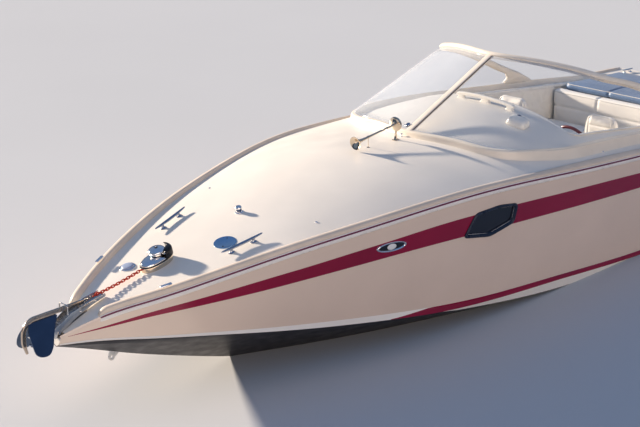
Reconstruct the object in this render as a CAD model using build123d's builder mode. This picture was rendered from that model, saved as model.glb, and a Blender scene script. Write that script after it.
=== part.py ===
from build123d import *
from math import cos, sin, radians, hypot, atan2, degrees
import os

os.makedirs("parts", exist_ok=True)

# A cuddy-cabin speedboat, millimetres.  +X points to the bow, +Y to port, +Z up.
# The origin is on the centreline, at the waterline, 4.5 m aft of the stem head.
# Distances called s are measured aft from the stem head.
stem_x = 4500.0
hull_length = 8900.0
deck_t = 22.0
wall_t = 45.0
toe_rail_w = 62.0
rub_w, rub_h = 12.0, 46.0
glass_t = 6.0
sole_z = 225.0
berth_z = 400.0
cockpit_y = 880.0
cockpit_s0, cockpit_s1 = 4930.0, 7060.0
lid_s0, lid_s1 = 7235.0, 8465.0
door_y0, door_y1, door_top = -430.0, 110.0, 1290.0
drive_s, drive_z = 9040.0, -70.0
prop_s, prop_z, prop_r = 9500.0, -620.0, 183.0
wheel_s, wheel_y, wheel_z, wheel_r, wheel_tilt = 5300.0, 650.0, 1085.0, 168.0, 25.0

# Hull sections: s, keel z, chine y and z, knuckle y and z, sheer y and z, height of the deck's crown over the sheer
HULL = [
    (0, 636, 20, 646, 32, 658, 57, 704, 24),
    (300, 516, 112, 590, 134, 628, 196, 814, 26),
    (600, 388, 220, 540, 250, 581, 352, 881, 29),
    (1000, 232, 340, 474, 376, 516, 527, 958, 34),
    (1500, 52, 482, 392, 520, 436, 703, 1041, 66),
    (2300, -190, 712, 262, 752, 335, 933, 1126, 134),
    (3300, -375, 945, 150, 990, 238, 1135, 1179, 176),
    (3800, -417, 1017, 91, 1058, 203, 1191, 1161, 189),
    (4400, -440, 1070, 25, 1103, 160, 1232, 1114, 334),
    (5800, -460, 1115, -45, 1137, 35, 1256, 993, 300),
    (7300, -460, 1110, -60, 1130, -15, 1235, 868, 190),
    (8450, -453, 1093, -61, 1113, -20, 1207, 798, 66),
    (8900, -450, 1085, -60, 1105, -20, 1195, 775, 38),
]
COLUMNS = ["s", "keel_z", "chine_y", "chine_z", "knuckle_y", "knuckle_z", "sheer_y", "sheer_z", "crown"]


def fair(xs, ys):
    """a fair curve through the table: natural cubic, as slopes of the second kind"""
    n = len(xs)
    h = [xs[i + 1] - xs[i] for i in range(n - 1)]
    a = [0.0] * n
    c = [1.0] * n
    d = [0.0] * n
    m = [0.0] * n
    for i in range(1, n - 1):
        w = h[i - 1] / c[i - 1] if i > 1 else 0.0
        c[i] = 2 * (h[i - 1] + h[i]) - w * (h[i - 1] if i > 1 else 0.0)
        d[i] = 6 * ((ys[i + 1] - ys[i]) / h[i] - (ys[i] - ys[i - 1]) / h[i - 1]) - w * (d[i - 1] if i > 1 else 0.0)
    for i in range(n - 2, 0, -1):
        m[i] = (d[i] - h[i] * m[i + 1]) / c[i]

    def f(x):
        i = max(0, min(n - 2, sum(1 for v in xs[1:-1] if x > v)))
        t, u = xs[i + 1] - x, x - xs[i]
        return (m[i] * t**3 + m[i + 1] * u**3) / (6 * h[i]) + (ys[i] / h[i] - m[i] * h[i] / 6) * t + (
            ys[i + 1] / h[i] - m[i + 1] * h[i] / 6
        ) * u

    return f


STATION = [row[0] for row in HULL]
CURVE = {name: fair(STATION, [row[k] for row in HULL]) for k, name in enumerate(COLUMNS)}


def at(name, s):
    return CURVE[name](s)


def X(s):
    return stem_x - s


def deck_z(s, y):
    """top of the crowned deck: a circular arc across the boat"""
    hw, ze, zc = at("sheer_y", s) - 4, at("sheer_z", s) + deck_t + 1, at("sheer_z", s) + at("crown", s)
    rise = max(zc - ze, 0.5)
    r = (hw * hw + rise * rise) / (2 * rise)
    return zc - r + (r * r - y * y) ** 0.5


def across(s):
    """plane across the boat at s, local x to port and local y up"""
    return Plane(origin=(X(s), 0, 0), x_dir=(0, 1, 0), z_dir=(1, 0, 0))


def done(part, name):
    part.label = name
    export_step(part, "parts/" + name + ".step")


def vec(p):
    return Vector(*p)


def bar_planes(points, ups):
    """planes across a path: local x sideways, local y towards ups"""
    out = []
    for i, p in enumerate(points):
        a, b = points[max(i - 1, 0)], points[min(i + 1, len(points) - 1)]
        t = (b - a).normalized()
        up = (ups[i] - t * ups[i].dot(t)).normalized()
        out.append(Plane(origin=p, x_dir=up.cross(t), z_dir=t))
    return out


UP = Vector(0, 0, 1)

# ---------------------------------------------------------------- hull
with BuildPart() as cavity:
    # s, floor z, floor half width, top half width
    for s, fz, fy, ty in [(1500, 470, 350, 655), (3000, berth_z, 895, 1040), (4400, berth_z, 1065, 1180), (8780, berth_z, 1085, 1140)]:
        with BuildSketch(across(s)):
            with BuildLine():
                Polyline((-fy, fz), (fy, fz), (ty, 1500), (-ty, 1500), close=True)
            make_face()
    loft(ruled=True)

# stations of the long fair pieces
LONG_S = [0, 150, 300, 450, 600, 800, 1000, 1250, 1500, 1900, 2300, 2800, 3300, 3550, 3800, 4100, 4400, 4750, 5100, 5450, 5800, 6200, 6650, 7100, 7550, 8000, 8400, 8650, 8900]

with BuildPart() as hull:
    for s in LONG_S:
        with BuildSketch(across(s)):
            k = {name: at(name, s) for name in COLUMNS}
            with BuildLine():
                Polyline(
                    (0, k["keel_z"]),
                    (k["chine_y"], k["chine_z"]),
                    (k["knuckle_y"], k["knuckle_z"]),
                    (k["sheer_y"], k["sheer_z"]),
                    (-k["sheer_y"], k["sheer_z"]),
                    (-k["knuckle_y"], k["knuckle_z"]),
                    (-k["chine_y"], k["chine_z"]),
                    close=True,
                )
            make_face()
    loft()
    add(cavity.part, mode=Mode.SUBTRACT)
    # wells below the berth level: s from, s to, half width, floor z
    for s0, s1, hw, fz in [(3350, 4880, 300, 20), (cockpit_s0, 7160, 860, sole_z), (7260, 8780, 500, -170)]:
        with BuildSketch(Plane.XY.offset(fz)):
            with Locations((X((s0 + s1) / 2), 0)):
                RectangleRounded(s1 - s0, 2 * hw, 40)
        extrude(amount=berth_z + 20 - fz, mode=Mode.SUBTRACT)
    with BuildSketch(Plane.XY.offset(sole_z)):
        with Locations((X(4905), (door_y0 + door_y1) / 2)):
            Rectangle(90, door_y1 - door_y0)
    extrude(amount=berth_z + 20 - sole_z, mode=Mode.SUBTRACT)

# ---------------------------------------------------------------- cabin side windows
# outline of the frame: s, z
PORT_LIGHT = [(3209, 834), (3305, 1032), (3573, 1045), (3787, 1013), (3771, 843), (3504, 780)]


def side_y(s, z):
    k = (z - at("knuckle_z", s)) / (at("sheer_z", s) - at("knuckle_z", s))
    return at("knuckle_y", s) + k * (at("sheer_y", s) - at("knuckle_y", s))


def side_plane(s0, s1, z0, z1):
    """plane laid on the port topside, its normal outboard, local x forward"""
    sm, zm = (s0 + s1) / 2, (z0 + z1) / 2
    along = Vector(X(s0), side_y(s0, zm), zm) - Vector(X(s1), side_y(s1, zm), zm)
    upward = Vector(X(sm), side_y(sm, z1), z1) - Vector(X(sm), side_y(sm, z0), z0)
    n = along.cross(upward).normalized()
    n = n if n.Y > 0 else n * -1
    return Plane(origin=(X(sm), side_y(sm, zm), zm), x_dir=along, z_dir=n)


def on_plane(plane, s, z):
    """the point of the plane that is seen at s, z from abeam"""
    o, n = plane.origin, plane.z_dir
    x = X(s)
    y = o.Y - (n.X * (x - o.X) + n.Z * (z - o.Z)) / n.Y
    q = plane.to_local_coords(Vector(x, y, z))
    return (q.X, q.Y)


window_plane = side_plane(3209, 3787, 800, 1040)
window_outline = [on_plane(window_plane, s, z) for s, z in PORT_LIGHT]


def window_ring(lo, hi, outer, inner):
    """a slab or ring of the window's outline, between two depths of the window's plane"""
    with BuildPart() as ring:
        with BuildSketch(window_plane.offset(lo)) as sk:
            with BuildLine():
                Polyline(*window_outline, close=True)
            make_face()
            fillet(sk.vertices(), 40)
            if outer:
                offset(amount=-outer)
        extrude(amount=hi - lo)
        if inner:
            with BuildSketch(window_plane.offset(lo)) as sk2:
                with BuildLine():
                    Polyline(*window_outline, close=True)
                make_face()
                fillet(sk2.vertices(), 40)
                offset(amount=-inner)
            extrude(amount=hi - lo, mode=Mode.SUBTRACT)
    return ring.part


window_hole = window_ring(-140, 60, 30, 0)
with BuildPart() as hull_skin:
    add(hull.part)
    add(window_hole, mode=Mode.SUBTRACT)
    add(window_hole.mirror(Plane.XZ), mode=Mode.SUBTRACT)
# the hull as three mouldings that meet at plain joints: under the soles, forward and aft of the cabin bulkhead
joint_z, joint_s, joint_gap = 222.0, 4905.0, 1.0
HULL_PIECES = [
    ("hull_bottom", -100, 9100, -900, joint_z),
    ("hull_topsides_forward", -100, joint_s - joint_gap / 2, joint_z + joint_gap, 1800),
    ("hull_topsides_aft", joint_s + joint_gap / 2, 9100, joint_z + joint_gap, 1800),
]
for piece_name, s0, s1, z0, z1 in HULL_PIECES:
    with BuildPart() as hull_piece:
        add(hull_skin.part)
        with Locations((X((s0 + s1) / 2), 0, (z0 + z1) / 2)):
            Box(s1 - s0, 3000, z1 - z0, mode=Mode.INTERSECT)
    done(hull_piece.part, piece_name)

frame_ring = window_ring(-14, 17, 0, 26)
with BuildPart() as window_frame:
    add(frame_ring)
    add(hull.part, mode=Mode.SUBTRACT)
frame_port = window_frame.part.solids().sort_by(SortBy.VOLUME)[-1]
with BuildPart() as window_frames:
    add(frame_port)
    add(frame_port.mirror(Plane.XZ))
done(window_frames.part, "cabin_window_frames")

pane = window_ring(-16, -8, 31, 0)
with BuildPart() as window_panes:
    add(pane)
    add(pane.mirror(Plane.XZ))
done(window_panes.part, "cabin_window_glass")

# docking lights let into the topsides: s from, s to, z middle, height
lamp_s0, lamp_s1, lamp_z, lamp_h = 2358, 2634, 931, 84
lamp_plane = side_plane(lamp_s0, lamp_s1, lamp_z - 40, lamp_z + 40)
with BuildPart() as lamp:
    with BuildSketch(lamp_plane.offset(4)):
        Ellipse((lamp_s1 - lamp_s0) / 2, lamp_h / 2)
    extrude(amount=11)
with BuildPart() as lamps:
    add(lamp.part)
    add(lamp.part.mirror(Plane.XZ))
done(lamps.part, "docking_lights")

# ---------------------------------------------------------------- deck
with BuildPart() as deck:
    for s in [60] + LONG_S[1:]:
        hw, ze, zc = at("sheer_y", s) - 4, at("sheer_z", s) + 1 + deck_t, at("sheer_z", s) + at("crown", s)
        zc = max(zc, ze + 1.5)
        with BuildSketch(across(s)):
            with BuildLine():
                ThreePointArc((-hw, ze), (0, zc), (hw, ze))
                Line((hw, ze), (hw, ze - deck_t))
                ThreePointArc((hw, ze - deck_t), (0, zc - deck_t), (-hw, ze - deck_t))
                Line((-hw, ze - deck_t), (-hw, ze))
            make_face()
    loft()
    # cockpit and engine hatch opening
    with BuildSketch(Plane.XY.offset(700)):
        with Locations((X((cockpit_s0 + 8480) / 2), 0)):
            RectangleRounded(8480 - cockpit_s0, 2 * (cockpit_y + 16), 90)
    extrude(amount=900, mode=Mode.SUBTRACT)
done(deck.part, "deck")

# ---------------------------------------------------------------- rub rails and toe rails
with BuildPart() as rub:
    for s in [262] + LONG_S[2:]:
        y, z = at("sheer_y", s), at("sheer_z", s) + 4
        with BuildSketch(across(s)):
            with BuildLine():
                Polyline((y + 1, z - rub_h / 2), (y + rub_w, z - rub_h / 2 + 8), (y + rub_w, z + rub_h / 2 - 8), (y + 1, z + rub_h / 2), close=True)
            make_face()
    loft()
with BuildPart() as rub_rails:
    add(rub.part)
    add(rub.part.mirror(Plane.XZ))
done(rub_rails.part, "rub_rails")

# toe rail: s, height over the deck's edge
TOE = [(262, 26), (330, 45), (600, 46), (1000, 45), (1500, 42), (2300, 36), (3300, 30), (4400, 26), (5800, 24), (7300, 23), (8850, 22)]
toe_height = fair([row[0] for row in TOE], [row[1] for row in TOE])
with BuildPart() as toe:
    for s in [262, 300, 350, 450] + LONG_S[4:-1] + [8850]:
        h = toe_height(s)
        y = at("sheer_y", s) - 5
        z = at("sheer_z", s) + deck_t + 4
        zi = deck_z(s, y - toe_rail_w) + 4
        with BuildSketch(across(s)):
            with BuildLine():
                Polyline((y, z), (y, z + h * 0.6), (y - 14, z + h), (y - toe_rail_w + 14, zi + h), (y - toe_rail_w, zi), close=True)
            make_face()
    loft()
with BuildPart() as toe_rails:
    add(toe.part)
    add(toe.part.mirror(Plane.XZ))
done(toe_rails.part, "toe_rails")

# ---------------------------------------------------------------- windscreen
# base curve on the deck (s, y) and top rail (s, y, z), port side, from the middle mullion to the tail
WS_BASE = [(3775, 0), (3795, 180), (3838, 360), (3880, 560), (3928, 735), (4030, 880), (4230, 995), (4480, 1076), (4850, 1108), (5350, 1105), (5900, 1098), (6400, 1080), (6980, 1048)]
WS_TOP = [(4900, 0, 1862), (4935, 160, 1857), (5010, 330, 1843), (5095, 500, 1820), (5190, 700, 1785), (5270, 850, 1745), (5380, 945, 1700), (5560, 985, 1645), (5800, 1000, 1560), (6100, 1008, 1430), (6400, 1020, 1290), (6700, 1035, 1172), (6960, 1042, 1082)]
coaming_w, coaming_lift, rail_w = 46.0, 14.0, 44.0
# heights of the coaming and of the top rail at those points
COAMING_H = [29, 30, 32, 36, 44, 50, 56, 60, 64, 64, 64, 62, 56]
RAIL_H = [50, 50, 51, 53, 56, 60, 66, 74, 80, 80, 78, 70, 56]
base_pts = [Vector(X(s), y, deck_z(s, y) + 2) for s, y in WS_BASE]
top_pts = [Vector(X(s), y, z) for s, y, z in WS_TOP]


def lofted_bar(planes, w, heights, lifts):
    with BuildPart() as b:
        for pl, h, lift in zip(planes, heights, lifts):
            with BuildSketch(pl):
                with Locations((0, lift)):
                    Rectangle(w, h)
        loft(ruled=True)
    return b.part


tail = [(7400, 1012, 46), (7900, 970, 36), (8350, 938, 28)]
coaming_pts = base_pts + [Vector(X(s), y, deck_z(s, y) + 2) for s, y, h in tail]
coaming_hs = COAMING_H + [h for s, y, h in tail]
coaming_half = lofted_bar(bar_planes(coaming_pts, [UP] * len(coaming_pts)), coaming_w, coaming_hs, [h / 2 + coaming_lift for h in coaming_hs])
with BuildPart() as ws_coaming:
    add(coaming_half)
    add(coaming_half.mirror(Plane.XZ))
done(ws_coaming.part, "windscreen_coaming")

top_half = lofted_bar(bar_planes(top_pts, [(t - b).normalized() for t, b in zip(top_pts, base_pts)]), rail_w, RAIL_H, [0] * len(RAIL_H))
with BuildPart() as ws_top:
    add(top_half)
    add(top_half.mirror(Plane.XZ))
done(ws_top.part, "windscreen_top_rail")

glass_rows = []
for i in range(len(base_pts) - 1):
    b = base_pts[i] + Vector(0, 0, COAMING_H[i] + coaming_lift + 6)
    t = top_pts[i]
    v = (t - b).normalized()
    j0, j1 = max(i - 1, 0), min(i + 1, len(base_pts) - 1)
    tan = (base_pts[j1] - base_pts[j0]).normalized()
    if i == 0:
        tan = Vector(0, 1, 0)
    tan = (tan - v * tan.dot(v)).normalized()
    run = (top_pts[min(i + 1, len(top_pts) - 1)] - top_pts[max(i - 1, 0)]).normalized()
    gap = (RAIL_H[i] / 2 + 16) / max(1 - run.dot(v) ** 2, 0.3) ** 0.5 + (8 if i > 8 else 0)
    length = (t - b).length - gap
    glass_rows.append((Plane(origin=b, x_dir=v, z_dir=tan), max(length, 12)))
with BuildPart() as glass:
    for pl, length in glass_rows[:-1]:
        with BuildSketch(pl):
            Rectangle(length, glass_t, align=(Align.MIN, Align.CENTER))
    loft(ruled=True)
with BuildPart() as glass_pane:
    add(glass.part)
    with BuildSketch(Plane.XY):
        Rectangle(20000, 66)
    extrude(amount=3000, mode=Mode.SUBTRACT)
with BuildPart() as ws_glass:
    add(glass_pane.part)
    add(glass_pane.part.mirror(Plane.XZ))
done(ws_glass.part, "windscreen_glass")

mull_b = Vector(X(WS_BASE[0][0]) + 2, 0, base_pts[0].Z + COAMING_H[0] + coaming_lift + 24)
mull_t = top_pts[0] - Vector(0, 0, RAIL_H[0] / 2 + 26)
with BuildPart() as mullion:
    with BuildSketch(Plane(origin=mull_b, x_dir=(0, 1, 0), z_dir=(mull_t - mull_b))):
        Rectangle(60, 32)
    extrude(amount=(mull_t - mull_b).length)
done(mullion.part, "windscreen_mullion")

# ---------------------------------------------------------------- bow fittings


def deck_plane(s, y, lift=1.0, turn=0.0):
    """plane on the deck, local x forward (turned towards port by turn degrees)"""
    o = Vector(X(s), y, deck_z(s, y))
    dx = Vector(X(s - 20), y, deck_z(s - 20, y)) - Vector(X(s + 20), y, deck_z(s + 20, y))
    dy = Vector(X(s), y + 20, deck_z(s, y + 20)) - Vector(X(s), y - 20, deck_z(s, y - 20))
    n = dx.cross(dy).normalized()
    side = n.cross(dx.normalized())
    fwd = dx.normalized() * cos(radians(turn)) + side * sin(radians(turn))
    return Plane(origin=o + n * lift, x_dir=fwd, z_dir=n)


def along_xz(points):
    """plan of a plate in the fore-and-aft plane from s, z pairs"""
    return [(X(s), z) for s, z in points]


roller_s, roller_z, roller_r = 5.0, 745.0, 31.0
CHEEK = [(-42, 708), (-12, 708), (-12, 733), (62, 762), (150, 810), (300, 868), (430, 899), (430, 925), (300, 905), (120, 868), (30, 812), (-22, 800), (-46, 768)]
with BuildPart() as channel:
    for y0 in (38, -44):
        with BuildSketch(Plane(origin=(0, y0, 0), x_dir=(1, 0, 0), z_dir=(0, -1, 0))):
            with BuildLine():
                Polyline(*along_xz(CHEEK), close=True)
            make_face()
        extrude(amount=-6)
    with BuildSketch(Plane(origin=(0, -44, 0), x_dir=(1, 0, 0), z_dir=(0, -1, 0))):
        with BuildLine():
            Polyline(*along_xz([(62, 762), (150, 810), (300, 868), (430, 899), (430, 905), (300, 874), (148, 816), (60, 768)]), close=True)
        make_face()
    extrude(amount=-88)
    with Locations(Plane(origin=(X(roller_s), 0, roller_z), x_dir=(1, 0, 0), z_dir=(0, 1, 0))):
        Cylinder(7, 100)
done(channel.part, "bow_roller_channel")

with BuildPart() as roller:
    with BuildSketch(Plane(origin=(X(roller_s), 0, roller_z), x_dir=(0, 1, 0), z_dir=(1, 0, 0))):
        with BuildLine():
            Polyline((-30, 8), (-30, roller_r), (-22, roller_r), (-9, roller_r - 11), (9, roller_r - 11), (22, roller_r), (30, roller_r), (30, 8), close=True)
        make_face()
    revolve(axis=Axis((X(roller_s), 0, roller_z), (0, 1, 0)))
done(roller.part, "bow_roller")

# plough anchor stowed over the roller
with BuildPart() as anchor:
    with BuildSketch(Plane(origin=(0, 9, 0), x_dir=(1, 0, 0), z_dir=(0, -1, 0))):
        with BuildLine():
            Polyline(*along_xz([(292, 880), (292, 914), (-190, 914), (-236, 904), (-272, 868), (-286, 780), (-272, 668), (-226, 626), (-196, 640), (-222, 690), (-232, 780), (-216, 846), (-186, 872)]), close=True)
        make_face()
    extrude(amount=18)
    with Locations(Plane(origin=(X(268), 0, 897), x_dir=(1, 0, 0), z_dir=(0, 1, 0))):
        Hole(9, 40)
    for side in (1, -1):
        lean = radians(24)
        pl = Plane(origin=(X(-60), side * 4, 872), x_dir=(1, 0, 0), z_dir=(0, side * cos(lean), sin(lean)))
        k = 1 if pl.y_dir.Z > 0 else -1
        with BuildSketch(pl):
            with BuildLine():
                Polyline((178, -60 * k), (150, 0), (-6, 0), (14, -200 * k), (90, -300 * k), (206, -250 * k), close=True)
            make_face()
        extrude(amount=8)
done(anchor.part, "anchor")

wl_s = 945.0
wl_plane = deck_plane(wl_s, 0, 1)
with BuildPart() as windlass:
    with BuildSketch(wl_plane):
        Ellipse(142, 82)
    extrude(amount=40, taper=4)
    with BuildSketch(wl_plane.offset(40)):
        Ellipse(134, 74)
    extrude(amount=36, taper=18)
done(windlass.part, "windlass_base")
gypsy_plane = Plane(origin=wl_plane.origin - wl_plane.x_dir * 25, x_dir=wl_plane.x_dir, z_dir=wl_plane.z_dir)
with BuildPart() as gypsy:
    with BuildSketch(Plane(origin=gypsy_plane.origin, x_dir=gypsy_plane.x_dir, z_dir=gypsy_plane.y_dir * -1)) as gs:
        with BuildLine():
            Polyline((0, 79), (50, 79), (56, 83), (46, 89), (46, 92), (60, 98), (66, 104), (66, 112), (56, 122), (36, 129), (18, 132), (0, 133), close=True)
        make_face()
    revolve(axis=Axis(gypsy_plane.origin, gypsy_plane.z_dir))
done(gypsy.part, "windlass_gypsy")

with BuildPart() as foot_switch:
    with BuildSketch(deck_plane(805, -170)):
        Circle(61)
    extrude(amount=20, taper=20)
done(foot_switch.part, "foot_switch")
with BuildPart() as deck_plate:
    with BuildSketch(deck_plane(1410, 240, 1.5)):
        Circle(88)
    extrude(amount=7)
done(deck_plate.part, "deck_plate")


def cleat(plane, length):
    with BuildPart() as c:
        with BuildSketch(plane):
            with Locations((-length * 0.26, 0), (length * 0.26, 0)):
                Ellipse(23, 15)
        extrude(amount=28, taper=8)
        with BuildSketch(plane.offset(26)):
            SlotOverall(length, 24)
        extrude(amount=18)
    return c.part


bow_cleat_plane = deck_plane(1430, 404, 2, -8)
with BuildPart() as bow_cleats:
    add(cleat(bow_cleat_plane, 370))
    add(cleat(deck_plane(1430, -404, 2, 8), 370))
done(bow_cleats.part, "bow_cleats")
with BuildPart() as stern_cleats:
    add(cleat(deck_plane(8690, 960, 4, 0), 220))
    add(cleat(deck_plane(8690, -960, 4, 0), 220))
done(stern_cleats.part, "stern_cleats")

# the chain lies from the windlass to the anchor's shank as one straight run
chain_a = Vector(X(794), 0, deck_z(794, 0) + 34)
chain_b = Vector(X(318), 0, 912)
with BuildPart() as chain:
    with BuildSketch(Plane(origin=chain_a, x_dir=(0, 1, 0), z_dir=(chain_b - chain_a))):
        Rectangle(26, 24)
    extrude(amount=(chain_b - chain_a).length)
done(chain.part, "anchor_chain")

with BuildPart() as nav_light:
    with BuildSketch(deck_plane(1785, 0)):
        Circle(30)
    extrude(amount=14)
    with BuildSketch(deck_plane(1785, 0, 15)):
        Circle(24)
    extrude(amount=38, taper=14)
done(nav_light.part, "bow_light")

# ---------------------------------------------------------------- horn
horn_a = Vector(X(3102), 0, 1428)
horn_b = Vector(X(3628), 0, 1490)
horn_dir = (horn_b - horn_a).normalized()
horn_len = (horn_b - horn_a).length
with BuildPart() as horn:
    with BuildSketch(Plane(origin=horn_a, x_dir=horn_dir, z_dir=(0, -1, 0))):
        with BuildLine():
            Polyline((0, 0), (0, 58), (6, 58), (24, 39), (60, 25), (150, 15), (horn_len - 34, 12), (horn_len - 34, 62), (horn_len, 62), (horn_len + 6, 50), (horn_len + 6, 0), close=True)
        make_face()
    revolve(axis=Axis(horn_a, horn_dir))
    with BuildSketch(deck_plane(3612, 0, 1)):
        RectangleRounded(64, 44, 12)
    extrude(amount=7)
    with BuildSketch(deck_plane(3612, 0, 7)):
        RectangleRounded(30, 30, 8)
    extrude(amount=92)
    with BuildSketch(deck_plane(3265, 0, 1)):
        Circle(14)
    extrude(amount=5)
    with BuildSketch(deck_plane(3265, 0, 5)):
        Circle(5)
    extrude(amount=84)
done(horn.part, "horn")

with BuildPart() as knob:
    with BuildSketch(deck_plane(3726, -30)):
        Circle(13)
    extrude(amount=44)
done(knob.part, "mullion_knob")

# ---------------------------------------------------------------- dash top fittings
with BuildPart() as pod:
    with BuildSketch(deck_plane(4555, 575, 3, 10)):
        RectangleRounded(150, 210, 40)
    extrude(amount=62, taper=14)
done(pod.part, "compass_pod")

bar_s, bar_y0, bar_y1, bar_w = 4760.0, -245.0, 395.0, 62.0
with BuildPart() as grab:
    with BuildSketch(across(bar_s + bar_w / 2)):
        pts = [(y, deck_z(bar_s, y)) for y in (bar_y0, (bar_y0 + bar_y1) / 2, bar_y1)]
        with BuildLine():
            ThreePointArc(*[(y, z + 6) for y, z in pts])
            Line((pts[2][0], pts[2][1] + 6), (pts[2][0], pts[2][1] + 40))
            ThreePointArc(*[(y, z + 40) for y, z in reversed(pts)])
            Line((pts[0][0], pts[0][1] + 40), (pts[0][0], pts[0][1] + 6))
        make_face()
    extrude(amount=bar_w)
    with BuildSketch(Plane.XY.offset(1200)):
        with Locations((X(bar_s), bar_y0 + 150), (X(bar_s), bar_y1 - 150)):
            SlotOverall(200, 26, rotation=90)
    extrude(amount=400, mode=Mode.SUBTRACT)
done(grab.part, "hatch_grip")

# ---------------------------------------------------------------- cabin
with BuildPart() as bulkhead:
    with BuildSketch(across(4925)):
        hw = 1065
        zs = [(y, deck_z(4905, y) - deck_t - 6) for y in (hw, 0, -hw)]
        with BuildLine():
            Polyline((-hw, zs[2][1]), (-hw, berth_z + 3), (hw, berth_z + 3), (hw, zs[0][1]))
            ThreePointArc(*zs)
        make_face()
    extrude(amount=32)
    with BuildSketch(across(4960)):
        with Locations(((door_y0 + door_y1) / 2, (sole_z + door_top) / 2)):
            Rectangle(door_y1 - door_y0, door_top - sole_z)
    extrude(amount=100, mode=Mode.SUBTRACT)
done(bulkhead.part, "cabin_bulkhead")

hinge_x, hinge_y = X(4934), door_y0 - 2
with BuildPart() as door:
    with BuildSketch(across(4922)):
        with Locations(((door_y0 + door_y1) / 2, (sole_z + 22 + door_top - 8) / 2)):
            RectangleRounded(door_y1 - door_y0 - 14, door_top - 8 - sole_z - 22, 30)
    extrude(amount=24)
    for z in (480, 1080):
        with Locations((hinge_x, hinge_y, z)):
            Cylinder(9, 60)
        with Locations((hinge_x + 8, hinge_y + 18, z)):
            Box(20, 30, 60)
    for z in (480, 1080):
        with Locations((hinge_x, hinge_y, z)):
            Cylinder(4.6, 80, mode=Mode.SUBTRACT)
done(door.part, "cabin_door")
with BuildPart() as door_pins:
    for z in (480, 1080):
        with Locations((hinge_x, hinge_y, z)):
            Cylinder(4.2, 104)
        for dz in (-42, 42):
            with Locations((hinge_x, hinge_y, z + dz)):
                Cylinder(9, 16)
            with Locations((hinge_x + 3, hinge_y - 18, z + dz)):
                Box(11, 32, 16)
done(door_pins.part, "cabin_door_hinges")

with BuildPart() as berths:
    with BuildSketch(Plane.XY.offset(berth_z + 74)):
        with BuildLine():
            Polyline((X(1700), 330), (X(1700), -330), (X(3290), -870), (X(3290), 870), close=True)
        make_face()
    extrude(amount=70)
    for side in (1, -1):
        with BuildSketch(Plane.XY.offset(berth_z + 4)):
            with BuildLine():
                Polyline((X(3350), side * 330), (X(3350), side * 880), (X(4820), side * 1040), (X(4820), side * 330), close=True)
            make_face()
        extrude(amount=90)
done(berths.part, "berth_cushions")

# ---------------------------------------------------------------- cockpit
with BuildPart() as sole:
    with BuildSketch(Plane.XY.offset(sole_z + 2)):
        with Locations((X((cockpit_s0 + cockpit_s1) / 2), 0)):
            RectangleRounded(cockpit_s1 - cockpit_s0 - 10, 1710, 36)
    extrude(amount=14)
done(sole.part, "cockpit_sole")

with BuildPart() as side_wall:
    for s in (4935, 5500, 6100, 6650, 7155):
        with BuildSketch(across(s)):
            with BuildLine():
                Polyline((863, berth_z + 23), (884, berth_z + 23), (884, deck_z(s, 884) - deck_t - 5), (863, deck_z(s, 863) - deck_t - 5), close=True)
            make_face()
    loft(ruled=True)
with BuildPart() as side_walls:
    add(side_wall.part)
    add(side_wall.part.mirror(Plane.XZ))
done(side_walls.part, "cockpit_sides")

with BuildPart() as console:
    with BuildSketch(Plane(origin=(0, 850, 0), x_dir=(1, 0, 0), z_dir=(0, -1, 0))):
        with BuildLine():
            Polyline(*along_xz([(4932, 560), (4932, 1180), (5040, 1212), (5150, 1120), (5110, 820), (5040, 560)]), close=True)
        make_face()
    extrude(amount=540)
done(console.part, "helm_console")

wheel_axis = Vector(-cos(radians(wheel_tilt)), 0, sin(radians(wheel_tilt)))
wheel_c = Vector(X(wheel_s), wheel_y, wheel_z)
wheel_plane = Plane(origin=wheel_c, x_dir=(0, 1, 0), z_dir=wheel_axis)
with BuildPart() as column:
    with BuildSketch(wheel_plane.offset(-34)):
        Circle(34)
    extrude(amount=-150, taper=-6)
    add(console.part, mode=Mode.SUBTRACT)
column_piece = column.part.solids().sort_by(Axis.X)[0]
done(Part() + column_piece, "steering_column")
with BuildPart() as wheel:
    with Locations(wheel_plane):
        Torus(wheel_r, 14)
    with BuildSketch(wheel_plane.offset(-28)):
        Circle(34)
    extrude(amount=42)
    with BuildSketch(wheel_plane.offset(-10)):
        with PolarLocations(wheel_r / 2, 3, start_angle=90):
            Rectangle(wheel_r, 26)
    extrude(amount=8)
done(wheel.part, "steering_wheel")

with BuildPart() as throttle:
    with Locations((X(5150), 318, 1010)):
        Box(110, 46, 150)
    with Locations((X(5170), 285, 1100)):
        Box(22, 18, 190)
    with Locations((X(5170), 285, 1200)):
        Cylinder(16, 60, rotation=(90, 0, 0))
    add(console.part, mode=Mode.SUBTRACT)
done(throttle.part, "throttle")

seat_s, seat_y, seat_z = 5800.0, 520.0, 600.0
for side, base_name, seat_name in ((1, "helm_seat_pedestal", "helm_seat"), (-1, "passenger_seat_pedestal", "passenger_seat")):
    with BuildPart() as pedestal:
        with BuildSketch(Plane.XY.offset(sole_z + 17)):
            with Locations((X(seat_s), side * seat_y)):
                Circle(150)
        extrude(amount=12)
        with BuildSketch(Plane.XY.offset(sole_z + 25)):
            with Locations((X(seat_s), side * seat_y)):
                Circle(45)
        extrude(amount=seat_z - 12 - sole_z - 25)
    done(pedestal.part, base_name)
    with BuildPart() as seat:
        with BuildSketch(Plane.XY.offset(seat_z)):
            with Locations((X(seat_s), side * seat_y)):
                RectangleRounded(430, 440, 120)
        extrude(amount=118)
        with BuildSketch(Plane.XY.offset(seat_z + 60)):
            with Locations((X(seat_s + 170), side * seat_y)):
                RectangleRounded(92, 400, 44)
        extrude(amount=530)
    done(seat.part, seat_name)

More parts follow.
